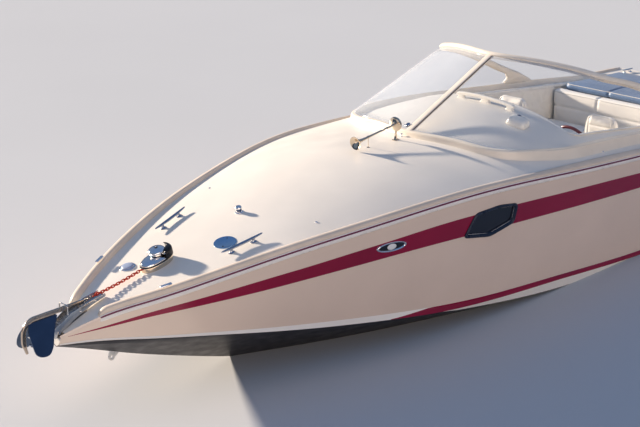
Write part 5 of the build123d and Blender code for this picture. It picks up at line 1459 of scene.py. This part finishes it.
# ------------------------------------------------------------------ seat pedestals
for sg, node in ((1, "helm_seat_pedestal"), (-1, "passenger_seat_pedestal")):
    fx = Matrix.Translation((X(5.8), sg * 0.52, 0.0))
    b = Build()
    b.add(*lathe([(0.0, 0.242), (0.147, 0.242), (0.150, 0.245), (0.149, 0.250), (0.142, 0.2545), (0.090, 0.257), (0.062, 0.262), (0.050, 0.272), (0.0452, 0.290), (0.0450, 0.420), (0.0435, 0.423), (0.0435, 0.428), (0.0450, 0.431), (0.0450, 0.545), (0.052, 0.560), (0.072, 0.572), (0.098, 0.578), (0.100, 0.582), (0.098, 0.586), (0.0, 0.5875)], fx, 56), mat=0)
    for k in range(8):
        a = 2 * pi * (k + 0.5) / 8
        b.add(*lathe([(0.0, 0.2540), (0.008, 0.2540), (0.008, 0.2570), (0.0055, 0.2595), (0.0, 0.2600)], fx @ Matrix.Translation((0.122 * cos(a), 0.122 * sin(a), 0.0)), 14), mat=1)
    lv = fx @ Matrix.Translation((0, -sg * 0.045, 0.500))
    b.add(*tube([lv @ Vector((0, 0.004 * sg, 0)), lv @ Vector((0.0, -0.030 * sg, 0.0)), lv @ Vector((0.015, -0.055 * sg, -0.004))], 0.0055, 10), mat=1)
    b.piece(node + "_post", [aluminium, steel], replaces=node, angle=40)

# ------------------------------------------------------------------ upholstery
SOFT = []


def soft_form(name, shapes, voxel, cap, low=None):
    """start shape of a cushion, evenly remeshed; all of them are swelled in one run"""
    me = bpy.data.meshes.new(name)
    vs, fs = [], []
    for v_, f_ in shapes:
        o = len(vs)
        vs += [tuple(p) for p in v_]
        fs += [tuple(i + o for i in q) for q in f_]
    me.from_pydata(vs, [], fs)
    bm = bmesh.new()
    bm.from_mesh(me)
    bmesh.ops.recalc_face_normals(bm, faces=bm.faces)
    bm.to_mesh(me)
    bm.free()
    ob = bpy.data.objects.new(name, me)
    scene.collection.objects.link(ob)
    rm = ob.modifiers.new("even", "REMESH")
    rm.mode, rm.voxel_size = "VOXEL", voxel
    bpy.context.view_layer.update()
    even = bpy.data.meshes.new_from_object(ob.evaluated_get(bpy.context.evaluated_depsgraph_get()))
    ob.modifiers.clear()
    ob.data = even
    bpy.data.meshes.remove(me)
    cl = ob.modifiers.new("swell", "CLOTH")
    st = cl.settings
    st.quality = 4
    st.mass = 0.3
    st.use_pressure = True
    st.uniform_pressure_force = 4.0
    st.effector_weights.gravity = 0.0
    cl.point_cache.frame_start, cl.point_cache.frame_end = 1, 20
    SOFT.append([ob, cap, low])
    return ob


def swell_all():
    for fr in range(1, 21):
        scene.frame_set(fr)
    dg = bpy.context.evaluated_depsgraph_get()
    for ob, cap, low in SOFT:
        start = [v.co.copy() for v in ob.data.vertices]
        end = [v.co.copy() for v in ob.evaluated_get(dg).data.vertices]
        ob.modifiers.clear()
        shift = sum(((q - p) for p, q in zip(start, end)), Vector()) / max(1, len(start))
        for v, p, q in zip(ob.data.vertices, start, end):
            d = q - p - shift
            if d.length > cap:
                d = d.normalized() * cap
            r_ = p + d
            if low is not None:
                o, n_ = low
                h0, h1 = (p - o).dot(n_), (r_ - o).dot(n_)
                if h0 < 0.006 or h1 < 0:
                    r_ = r_ - n_ * h1
            v.co = r_
    scene.frame_set(1)


def finish_cushion(ob, name, body, nodes, seams, welts, mats, depth=0.007, width=0.011):
    """one subdivision, then the sewn channels and the welts along the edges"""
    sb = ob.modifiers.new("fine", "SUBSURF")
    sb.levels = sb.render_levels = 1
    bpy.context.view_layer.update()
    me = bpy.data.meshes.new_from_object(ob.evaluated_get(bpy.context.evaluated_depsgraph_get()))
    ob.modifiers.clear()
    pts = [v.co.copy() for v in me.vertices]
    nrm = [v.normal.copy() for v in me.vertices]
    polys = [tuple(p.vertices) for p in me.polygons]
    for i, (p, n_) in enumerate(zip(pts, nrm)):
        g = 0.0
        for fn in seams:
            g = max(g, math.exp(-((fn(p) / width) ** 2)))
        if g > 0.01:
            pts[i] = p - n_ * depth * g
    tree = BVHTree.FromPolygons(pts, polys)
    b = Build()
    b.add(pts, polys, 0)
    for path, dirs, r_ in welts:
        out = []
        for p, d in zip(path, dirs):
            hit = tree.ray_cast(p + d * 0.12, -d, 0.30)[0]
            out.append((hit if hit is not None else p) + d * 0.0005)
        for _ in range(2):
            out = [(out[i - 1] + out[i] * 2 + out[(i + 1) % len(out)]) / 4 for i in range(len(out))]
        b.add(*closed_tube(out, r_, 8), mat=1)
    bpy.data.objects.remove(ob)
    pc = b.piece(name, mats, replaces=nodes, body=body, angle=180)
    return pc


def welt_path(outline, z, matrix=I4, r=0.0045):
    pts = [Vector(p) for p in outline]
    n = len(pts)
    area = sum(pts[i].x * pts[(i + 1) % n].y - pts[(i + 1) % n].x * pts[i].y for i in range(n))
    sg = 1.0 if area > 0 else -1.0
    path, dirs = [], []
    for i in range(n):
        a, c = pts[i], pts[(i + 1) % n]
        k = max(1, int((c - a).length / 0.03))
        for j in range(k):
            p = a.lerp(c, j / k)
            t = ((pts[(i + 1) % n] - pts[i - 1]) if j == 0 else (c - a)).normalized()
            path.append(matrix @ Vector((p.x, p.y, z)))
            dirs.append((matrix.to_3x3() @ Vector((t.y * sg, -t.x * sg, 0))).normalized())
    return path, dirs, r


UPZ = Vector((0, 0, 1))
seats = []
for sg, body in ((1, "helm_seat"), (-1, "passenger_seat")):
    cx, cy = X(5.8), sg * 0.52
    lay = []
    for z, g in ((0.602, 0.030), (0.606, 0.012), (0.625, 0.008), (0.680, 0.008), (0.698, 0.016), (0.706, 0.034)):
        lay.append([Vector((x, y, z)) for x, y in rrect(0.430 - 2 * g, 0.440 - 2 * g, 0.118 - g, 7, cx, cy)])
    base = soft_form(body + "_base", [loft(lay)], 0.011, 0.012, (Vector((0, 0, 0.602)), UPZ))
    bx = X(5.970)
    lay = []
    for z, w, th in ((0.712, 0.350, 0.040), (0.722, 0.376, 0.064), (0.760, 0.388, 0.078), (0.960, 0.384, 0.074), (1.060, 0.370, 0.068), (1.120, 0.344, 0.060), (1.155, 0.304, 0.050), (1.174, 0.250, 0.036)):
        ring = []
        for x, y in rrect(th, w, th * 0.46, 6):
            ring.append(Vector((bx + x + 0.55 * y * y, cy + y, z)))
        lay.append(ring)
    back = soft_form(body + "_back", [loft(lay)], 0.011, 0.012, None)
    seats.append((base, back, body, cx, cy, bx))

bench = soft_form("bench_seat", [slab(rrect(0.542, 1.676, 0.055, 6, X(6.766), 0.0), 0.566, 0.668, I4, 0.020, 4)], 0.018, 0.014, (Vector((0, 0, 0.565)), UPZ))
bback = soft_form("bench_rest", [slab(rrect(0.118, 1.694, 0.042, 6, X(7.136), 0.0), 0.428, 0.972, I4, 0.022, 4)], 0.018, 0.011, (Vector((0, 0, 0.426)), UPZ))
lid_d = Vector((1.230, 0, 0.083)).normalized()
lid_n = lid_d.cross(Vector((0, 1, 0))).normalized()
lfx = basis(Vector((X(8.465), 0, 0.842)), lid_d, Vector((0, 1, 0)), lid_n)
lid_len = hypot(1.230, 0.083)
pad_c = lid_len / 2 + 0.052
sun_pad = soft_form("lid_pad", [slab(rrect(lid_len - 0.150, 1.680, 0.065, 6, pad_c, 0.0), 0.004, 0.074, lfx, 0.022, 4)], 0.020, 0.012, (lfx @ Vector((0, 0, 0.003)), lid_n))
fore = round_poly(inset([(X(1.700), 0.330), (X(1.700), -0.330), (X(3.290), -0.870), (X(3.290), 0.870)], 0.010), 0.05, 5)
port = round_poly(inset([(X(3.350), 0.330), (X(3.350), 0.880), (X(4.820), 1.040), (X(4.820), 0.330)], 0.010), 0.05, 5)
stbd = [(x, -y) for x, y in reversed(port)]
berth_a = soft_form("berth_fore", [slab(fore, 0.476, 0.534, I4, 0.018, 4)], 0.024, 0.010, (Vector((0, 0, 0.475)), UPZ))
berth_b = soft_form("berth_sides", [slab(port, 0.406, 0.484, I4, 0.018, 4), slab(stbd, 0.406, 0.484, I4, 0.018, 4)], 0.024, 0.010, (Vector((0, 0, 0.405)), UPZ))

swell_all()

WHITE = [vinyl_white, vinyl_piping]
for base, back, body, cx, cy, bx in seats:
    side_a = lambda p, c=cy: abs(abs(p.y - c) - 0.128) if p.z > 0.66 else 1.0
    front = lambda p, c=cx: abs(p.x - c - 0.120) if p.z > 0.69 else 1.0
    finish_cushion(base, body + "_cushion", body, [body], [side_a, front], [welt_path(rrect(0.425, 0.435, 0.118, 8, cx, cy), 0.690), welt_path(rrect(0.425, 0.435, 0.118, 8, cx, cy), 0.618)], WHITE)
    flutes = [lambda p, c=cy, q=q: abs(p.y - c - q) for q in (-0.125, 0.125)] + [lambda p, z=z, c=cy: (abs(p.z - z) if abs(p.y - c) < 0.122 else 1.0) for z in (0.860, 0.965, 1.070)]
    w_out = []
    for k in range(72):
        a = 2 * pi * k / 72
        w_out.append((0.195 * math.copysign(abs(cos(a)) ** 0.55, cos(a)), 0.945 + 0.228 * math.copysign(abs(sin(a)) ** 0.55, sin(a))))
    path = [Vector((bx + 0.022 + 0.55 * y * y, cy + y, z)) for y, z in w_out]
    dirs = []
    for k in range(72):
        t = Vector((w_out[(k + 1) % 72][0] - w_out[k - 1][0], w_out[(k + 1) % 72][1] - w_out[k - 1][1])).normalized()
        dirs.append(Vector((0, t.y, -t.x)).normalized())
    finish_cushion(back, body + "_backrest", body, [], flutes, [(path, dirs, 0.004)], WHITE)
thirds = [lambda p: abs(abs(p.y) - 0.283)]
finish_cushion(bench, "bench_seat_cushion", BOAT, ["bench_cushion"], thirds, [welt_path(rrect(0.552, 1.688, 0.055, 8, X(6.766), 0.0), 0.650, r=0.005)], WHITE, 0.010, 0.016)
finish_cushion(bback, "bench_back_cushion", BOAT, ["bench_back"], thirds + [lambda p: abs(p.z - 0.800) if p.x > X(7.136) else 1.0], [welt_path(rrect(0.130, 1.706, 0.045, 8, X(7.136), 0.0), 0.945, r=0.005)], WHITE, 0.009, 0.016)
inv = lfx.inverted()
finish_cushion(sun_pad, "lid_sunpad", "engine_lid", ["sunpad"], [lambda p: abs(abs(p.y) - 0.283), lambda p: abs((inv @ p).x - pad_c)], [welt_path(rrect(lid_len - 0.140, 1.690, 0.068, 8, pad_c, 0.0), 0.066, lfx, 0.005)], [vinyl_blue, vinyl_piping], 0.009, 0.018)
finish_cushion(berth_a, "berth_fore_cushion", BOAT, ["berth_cushions"], [lambda p: abs(p.y)], [welt_path(fore, 0.528, r=0.005)], WHITE, 0.008, 0.020)
finish_cushion(berth_b, "berth_side_cushions", BOAT, [], [lambda p: abs(p.x - X(4.085))], [welt_path(port, 0.478, r=0.005), welt_path(stbd, 0.478, r=0.005)], WHITE, 0.008, 0.020)

# ------------------------------------------------------------------ cockpit mouldings
b = Build()
for y0, zdir in ((0.8625, -1),):
    fx = basis(Vector((X(5.710), y0, 0.715)), Vector((1, 0, 0)), Vector((0, 0, 1)), Vector((0, -1, 0)))
    outer, inner = rrect(1.38, 0.34, 0.06, 6), rrect(1.29, 0.25, 0.045, 6)
    n = len(outer)
    loops = [[(x, y, 0.0) for x, y in outer], [(x * 0.999, y * 0.998, 0.007) for x, y in outer], [(x * 0.994, y * 0.98, 0.010) for x, y in outer], [(x, y, 0.010) for x, y in inner], [(x * 0.995, y * 0.98, 0.004) for x, y in inner]]
    v = [fx @ Vector(p) for lp in loops for p in lp]
    f = [(i * n + k, i * n + (k + 1) % n, (i + 1) * n + (k + 1) % n, (i + 1) * n + k) for i in range(len(loops) - 1) for k in range(n)]
    f.append(tuple((len(loops) - 1) * n + k for k in range(n)))
    b.add(v, f, 0)
    for k in range(7):
        b.add(*slab(rrect(0.18, 0.008, 0.0038, 3, 0.34, -0.045 + 0.015 * k), 0.003, 0.0065, fx, 0.001), mat=1)
    hp = arc_path([fx @ Vector((-0.42, 0.08, 0.004)), fx @ Vector((-0.42, 0.08, 0.042)), fx @ Vector((-0.18, 0.08, 0.042)), fx @ Vector((-0.18, 0.08, 0.004))], 0.03, 6)
    b.add(*tube(hp, 0.009, 14), mat=2)
    for q in (-0.42, -0.18):
        b.add(*lathe([(0.0, 0.0), (0.020, 0.0), (0.020, 0.003), (0.012, 0.006), (0.0, 0.0065)], fx @ Matrix.Translation((q, 0.08, 0.0035)), 22), mat=2)
b.mirror_y().piece("cockpit_side_panels", [deck_smooth, black_gloss, steel], angle=40, slot="gelcoat_deck")

b = Build()
for yc in (-0.56, 0.0, 0.56):
    fx = basis(Vector((X(6.481), yc, 0.395)), Vector((0, 1, 0)), Vector((0, 0, 1)), Vector((1, 0, 0)))
    b.add(*slab(rrect(0.46, 0.20, 0.025, 5), -0.001, 0.0065, fx, 0.002), mat=0)
    b.add(*lathe([(0.0, 0.006), (0.019, 0.006), (0.0195, 0.008), (0.016, 0.009), (0.014, 0.0075), (0.0, 0.0075)], fx @ Matrix.Translation((0, 0.055, 0)), 26), mat=1)
b.piece("locker_doors", [deck_smooth, chrome], angle=40, slot="gelcoat_deck")

b = Build()
fx = basis(Vector((X(4.922), -0.160, 0.765)), Vector((0, 1, 0)), Vector((0, 0, 1)), Vector((-1, 0, 0)))
for zc, hh in ((0.20, 0.40), (-0.24, 0.34)):
    b.add(*slab(rrect(0.40, hh, 0.03, 5, 0, zc), -0.001, 0.005, fx, 0.002), mat=0 if zc < 0 else 1)
b.add(*lathe([(0.0, 0.0), (0.022, 0.0), (0.022, 0.004), (0.014, 0.007), (0.010, 0.016), (0.018, 0.022), (0.019, 0.027), (0.012, 0.031), (0.0, 0.032)], fx @ Matrix.Translation((0.215, -0.02, 0.0)), 26), mat=2)
b.piece("cabin_door_panels", [deck_smooth, dark_pane, chrome], body="cabin_door", angle=40, slot="gelcoat_deck")

# ------------------------------------------------------------------ swim platform
b = Build()
b.add(*slab(rrect(0.460, 2.080, 0.060, 7, X(9.132), 0.0), 0.396, 0.4385, I4, 0.012, 4), mat=0)
for yc in (-0.52, 0.52):
    b.add(*slab(rrect(0.34, 0.92, 0.04, 5, X(9.135), yc), 0.4375, 0.4400, I4, 0.001, 2), mat=1)
for yc in (-0.62, 0.62):
    b.add(*slab(round_poly([(X(8.903), 0.3985), (X(8.903), 0.190), (X(8.925), 0.190), (X(9.240), 0.380), (X(9.240), 0.3985)], 0.010, 3), 0.0, 0.040, xz(yc + 0.020, 1), 0.004), mat=0)
for yc in (-0.95, -0.32, 0.32, 0.95):
    b.add(*lathe([(0.0, 0.0), (0.009, 0.0), (0.009, 0.0015), (0.006, 0.003), (0.0, 0.0032)], Matrix.Translation((X(8.945), yc, 0.4382)), 14), mat=2)
b.piece("stern_platform", [deck_smooth, deck_gel, steel], replaces="swim_platform", angle=40)

# ------------------------------------------------------------------ sterndrive
b = Build()
lev = [(0.020, 0.060, 0.040, 2.2, 9.330), (0.016, 0.088, 0.062, 2.4, 9.328), (0.004, 0.106, 0.078, 2.6, 9.326), (-0.030, 0.114, 0.085, 2.8, 9.325), (-0.090, 0.114, 0.085, 2.8, 9.325), (-0.130, 0.110, 0.078, 2.6, 9.327), (-0.165, 0.104, 0.056, 2.3, 9.330),
       (-0.210, 0.100, 0.036, 2.1, 9.333), (-0.270, 0.098, 0.0285, 2.0, 9.335), (-0.380, 0.098, 0.027, 2.0, 9.335), (-0.500, 0.094, 0.026, 2.0, 9.337), (-0.590, 0.096, 0.026, 2.0, 9.338), (-0.640, 0.098, 0.024, 2.0, 9.340)]
b.add(*loft([[Vector((X(s0) + x, y, z)) for x, y in capsule(a, c, 40, q)] for z, a, c, q, s0 in lev]), mat=0)
b.add(*rounded_box((X(9.2145), -0.074, -0.119), (X(9.012), 0.074, -0.021), 0.022, 5), mat=0)
b.add(*lathe([(0.0, -0.106), (0.0115, -0.106), (0.012, -0.104), (0.012, 0.104), (0.0115, 0.106), (0.0, 0.106)], axis_frame((X(9.040), 0, -0.070), (0, 1, 0)), 20), mat=1)
b.add(*lathe([(0.0, 0.0), (0.030, 0.001), (0.050, 0.006), (0.056, 0.020), (0.058, 0.060), (0.058, 0.230), (0.054, 0.270), (0.042, 0.305), (0.026, 0.332), (0.012, 0.346), (0.0, 0.351)], axis_frame((X(9.492), 0, -0.620), (1, 0, 0)), 40), mat=0)
b.add(*slab(rrect(0.416, 0.236, 0.070, 6, X(9.400), 0.0), -0.3955, -0.3865, I4, 0.003), mat=0)
b.add(*slab(rrect(0.24, 0.150, 0.06, 6, X(9.385), 0.0), -0.300, -0.2945, I4, 0.002), mat=0)
b.add(*slab(round_poly([(X(9.250), -0.640), (X(9.330), -0.836), (X(9.440), -0.836), (X(9.450), -0.640)], [0.01, 0.04, 0.02, 0.01], 4), 0.0, 0.011, xz(0.0055, 1), 0.0045), mat=0)
for sg in (-1, 1):
    b.add(*lathe([(0.0, -0.017), (0.019, -0.017), (0.022, -0.014), (0.022, 0.014), (0.019, 0.017), (0.0, 0.017)], axis_frame((X(9.330), sg * 0.101, -0.230), (0, 1, 0)), 26), mat=0)
    b.add(*rounded_box((X(9.350), sg * 0.060 - 0.024, -0.240), (X(9.310), sg * 0.060 + 0.024, -0.140), 0.010, 3), mat=0)
    for zz in (-0.02, -0.10):
        for ss_ in (9.25, 9.40):
            b.add(*lathe([(0.0, 0.0), (0.008, 0.0), (0.008, 0.004), (0.005, 0.006), (0.0, 0.0062)], axis_frame((X(ss_), sg * 0.080, zz), (0, sg, 0)), 12), mat=1)
# water pickups on both sides of the leg
for k in range(5):
    for sg in (-1, 1):
        b.add(*slab(rrect(0.004, 0.034, 0.0018, 2, X(9.275) + 0.010 * k, -0.520), 0.0, 0.0012, basis(Vector((0, sg * 0.0262, 0)), Vector((1, 0, 0)), Vector((0, 0, 1)), Vector((0, sg, 0))), 0.0004, 1), mat=1)
b.piece("sterndrive_leg", [drive_black, steel], replaces="drive_leg", body="drive_leg", angle=38)

b = Build()
pfx = axis_frame((X(9.600), 0, -0.620), (1, 0, 0))
b.add(*lathe([(0.0, 0.0), (0.012, 0.0), (0.018, 0.004), (0.034, 0.006), (0.040, 0.010), (0.0415, 0.020), (0.047, 0.070), (0.048, 0.100), (0.0465, 0.104), (0.0, 0.104)], pfx, 40), mat=0)
for k in range(3):
    rot = Matrix.Translation((X(9.545), 0, -0.620)) @ Matrix.Rotation(2 * pi * k / 3, 4, "X")
    rings = []
    for r_, chord, ang, th, skew in ((0.040, 0.066, 28, 0.0080, 0.0), (0.060, 0.092, 33, 0.0075, 0.002), (0.090, 0.118, 41, 0.0062, 0.006), (0.120, 0.130, 48, 0.0050, 0.010), (0.145, 0.122, 53, 0.0040, 0.012), (0.165, 0.096, 57, 0.0032, 0.010), (0.178, 0.056, 60, 0.0024, 0.004), (0.182, 0.024, 61, 0.0016, 0.0)):
        a = radians(ang)
        cd, nd = Vector((cos(a), sin(a), 0)), Vector((-sin(a), cos(a), 0))
        ring = []
        for j in range(20):
            w = 2 * pi * j / 20
            u_, v_ = cos(w) * chord / 2 + skew, sin(w) * th / 2
            bend = 0.010 * (1 - (2 * (u_ - skew) / chord) ** 2)
            ang_y = (cd.y * u_ + nd.y * (v_ + bend)) / r_
            ring.append(rot @ Vector((cd.x * u_ + nd.x * (v_ + bend), r_ * sin(ang_y), r_ * cos(ang_y))))
        rings.append(ring)
    b.add(*loft(rings), mat=0)
b.add(*lathe([(0.0, -0.001), (0.012, -0.001), (0.012, 0.004), (0.0, 0.004)], pfx, 6), mat=0)
b.piece("propeller_blades", [prop_steel], replaces="propeller", body="propeller", angle=40)

# ------------------------------------------------------------------ engine under the hatch
b = Build()
b.add(*rounded_box((X(8.13), -0.150, -0.060), (X(7.56), 0.150, 0.130), 0.020, 3), mat=0)
b.add(*loft([[Vector((x, y, z)) for x, y in rrect(0.54 - 2 * g, 0.26 - 2 * g, 0.03, 4, X(7.845), 0.0)] for z, g in ((-0.155, 0.030), (-0.148, 0.015), (-0.060, 0.0))]), mat=1)
for sg in (-1, 1):
    bank = Matrix.Translation((X(7.845), sg * 0.090, 0.120)) @ Matrix.Rotation(-sg * radians(42), 4, "X")
    b.add(*rounded_box((-0.255, -0.075, -0.02), (0.255, 0.075, 0.105), 0.012, 3), mat=0, matrix=bank)
    b.add(*rounded_box((-0.245, -0.062, 0.105), (0.245, 0.062, 0.155), 0.022, 4), mat=2, matrix=bank)
    for q in (-0.18, 0.0, 0.18):
        b.add(*lathe([(0.0, 0.150), (0.009, 0.150), (0.009, 0.158), (0.0, 0.160)], bank @ Matrix.Translation((q, 0, 0)), 10), mat=3)
    man = [Vector((X(7.62), sg * 0.245, 0.075)), Vector((X(7.84), sg * 0.252, 0.080)), Vector((X(8.06), sg * 0.252, 0.100)), Vector((X(8.14), sg * 0.235, 0.150)), Vector((X(8.20), sg * 0.205, 0.120)), Vector((X(8.225), sg * 0.195, 0.000))]
    b.add(*tube(sampled(man, 26), 0.040, 16), mat=0)
    for q in (7.66, 7.78, 7.90, 8.02):
        b.add(*tube([(X(q), sg * 0.175, 0.120), (X(q), sg * 0.215, 0.110), (X(q), sg * 0.245, 0.085)], 0.024, 12), mat=0)
        b.add(*tube([(X(q) + 0.02, sg * 0.215, 0.165), (X(q) + 0.02, sg * 0.16, 0.250), (X(7.86) + (X(q) - X(7.86)) * 0.3, sg * 0.05, 0.330)], 0.0042, 8), mat=1)
b.add(*rounded_box((X(8.06), -0.080, 0.180), (X(7.64), 0.080, 0.290), 0.025, 4), mat=3)
b.add(*lathe([(0.0, 0.285), (0.095, 0.285), (0.100, 0.292), (0.098, 0.298), (0.094, 0.300), (0.094, 0.335), (0.098, 0.338), (0.100, 0.346), (0.094, 0.356), (0.040, 0.364), (0.0, 0.366)], Matrix.Translation((X(7.80), 0, 0)), 44), mat=3)
b.add(*lathe([(0.0, 0.364), (0.012, 0.364), (0.012, 0.374), (0.0, 0.378)], Matrix.Translation((X(7.80), 0, 0)), 6), mat=3)
for y, z, r_ in ((0.0, -0.030, 0.080), (0.0, 0.140, 0.072), (0.180, 0.210, 0.040), (-0.185, 0.180, 0.055)):
    b.add(*lathe([(0.0, -0.004), (r_, -0.004), (r_ + 0.003, 0.0), (r_ - 0.004, 0.006), (r_ - 0.004, 0.014), (r_ + 0.003, 0.020), (r_, 0.024), (r_ * 0.5, 0.026), (0.0, 0.030)], axis_frame((X(7.500), y, z), (1, 0, 0)), 36), mat=1)
    b.add(*lathe([(0.0, -0.060), (r_ * 0.55, -0.060), (r_ * 0.55, -0.004), (0.0, -0.004)], axis_frame((X(7.500), y, z), (1, 0, 0)), 24), mat=0)
belt = [(X(7.491), y, z) for y, z in ((-0.080, -0.03), (-0.056, -0.086), (0.0, -0.107), (0.056, -0.086), (0.080, -0.03), (0.215, 0.190), (0.221, 0.212), (0.205, 0.242), (0.180, 0.251), (0.03, 0.214), (-0.03, 0.214), (-0.185, 0.234), (-0.225, 0.215), (-0.238, 0.180), (-0.225, 0.145))]
b.add(*closed_tube(belt, 0.0065, 8), mat=1)
b.add(*lathe([(0.0, 0.0), (0.168, 0.0), (0.172, 0.006), (0.170, 0.020), (0.150, 0.060), (0.120, 0.105), (0.0, 0.110)], axis_frame((X(8.240), 0, 0.030), (1, 0, 0)), 44), mat=0)
b.add(*lathe([(0.0, -0.050), (0.038, -0.050), (0.040, -0.046), (0.040, 0.046), (0.036, 0.052), (0.0, 0.054)], axis_frame((X(8.00), 0.195, -0.06), (1, 0, 0)), 28), mat=4)
b.piece("inboard_engine", [cast_grey, black_rubber, black_gloss, aluminium, lens_white], replaces="engine", angle=40)

# ------------------------------------------------------------------ lights, floor, world
floor_me = bpy.data.meshes.new("floor")
floor_me.from_pydata([(-70, -70, 0), (70, -70, 0), (70, 70, 0), (-70, 70, 0)], [], [(0, 1, 2, 3)])
floor_mat = material("floor_pale", (0.62, 0.64, 0.66), 0.85, vary=0.02, vary_scale=0.2, rough_vary=0.03, bump=0.02, bump_scale=3.0, depth=0.002)
for nd in floor_mat.node_tree.nodes:
    if nd.type == "BSDF_PRINCIPLED":
        nd.inputs["Specular IOR Level"].default_value = 0.10
floor_me.materials.append(floor_mat)
floor = bpy.data.objects.new("floor", floor_me)
scene.collection.objects.link(floor)

world = bpy.data.worlds.new("studio")
scene.world = world
world.use_nodes = True
wn = world.node_tree
wn.nodes.clear()
wo = wn.nodes.new("ShaderNodeOutputWorld")
bg = wn.nodes.new("ShaderNodeBackground")
wt = wn.nodes.new("ShaderNodeTexCoord")
ws_ = wn.nodes.new("ShaderNodeSeparateXYZ")
wr = wn.nodes.new("ShaderNodeValToRGB")
wn.links.new(wt.outputs["Generated"], ws_.inputs[0])
wn.links.new(ws_.outputs["Z"], wr.inputs[0])
wr.color_ramp.elements[0].position, wr.color_ramp.elements[0].color = 0.0, (0.030, 0.045, 0.085, 1)
wr.color_ramp.elements[1].position, wr.color_ramp.elements[1].color = 0.9, (0.20, 0.31, 0.52, 1)
mid = wr.color_ramp.elements.new(0.10)
mid.color = (0.060, 0.095, 0.17, 1)
high = wr.color_ramp.elements.new(0.32)
high.color = (0.28, 0.36, 0.50, 1)
wn.links.new(wr.outputs[0], bg.inputs["Color"])
bg.inputs["Strength"].default_value = 0.70
wn.links.new(bg.outputs[0], wo.inputs[0])


def sun(name, direction, strength, color, angle):
    ld = bpy.data.lights.new(name, "SUN")
    ld.energy, ld.color, ld.angle = strength, color, radians(angle)
    lo = bpy.data.objects.new(name, ld)
    lo.rotation_mode = "QUATERNION"
    lo.rotation_quaternion = Vector(direction).to_track_quat("Z", "Y")
    scene.collection.objects.link(lo)
    return lo


sun("key", (0.20, -0.93, 0.295), 7.3, (1.0, 0.845, 0.675), 3.0)
sun("fill_port", (0.45, 0.85, 0.10), 1.22, (1.0, 0.79, 0.62), 50.0)

scene.view_settings.view_transform = "Standard"
scene.view_settings.look = "Medium High Contrast"

# ------------------------------------------------------------------ carried-over CAD nodes
CAD_MATERIALS = {
    "hull_bottom": gel_white, "hull_topsides_forward": gel_white, "hull_topsides_aft": gel_white, "deck": deck_smooth, "cabin_bulkhead": deck_smooth,
    "cabin_door": deck_smooth, "cabin_door_hinges": steel, "berth_cushions": vinyl_white, "cockpit_sole": carpet, "cockpit_sides": deck_smooth,
    "helm_console": deck_smooth, "steering_column": black_gloss, "steering_wheel": wheel_leather, "throttle": black_gloss, "helm_seat_pedestal": aluminium,
    "passenger_seat_pedestal": aluminium, "helm_seat": vinyl_white, "passenger_seat": vinyl_white, "bench_base": deck_smooth, "bench_cushion": vinyl_white,
    "bench_back": vinyl_white, "engine_hatch": deck_smooth, "engine_hatch_frame": deck_smooth, "engine_hatch_hinges": steel, "sunpad": vinyl_blue,
    "engine": cast_grey, "swim_platform": deck_smooth, "bow_eye": steel, "stern_eyes": steel, "gimbal_housing": drive_black, "gimbal_ring": drive_black,
    "drive_leg": drive_black, "propeller": prop_steel, "trim_barrels": aluminium, "trim_rods": steel, "bow_roller": roller_rubber,
}
for node, mat_ in CAD_MATERIALS.items():
    if node in NODES:
        NODES[node].data.materials.clear()
        NODES[node].data.materials.append(mat_)
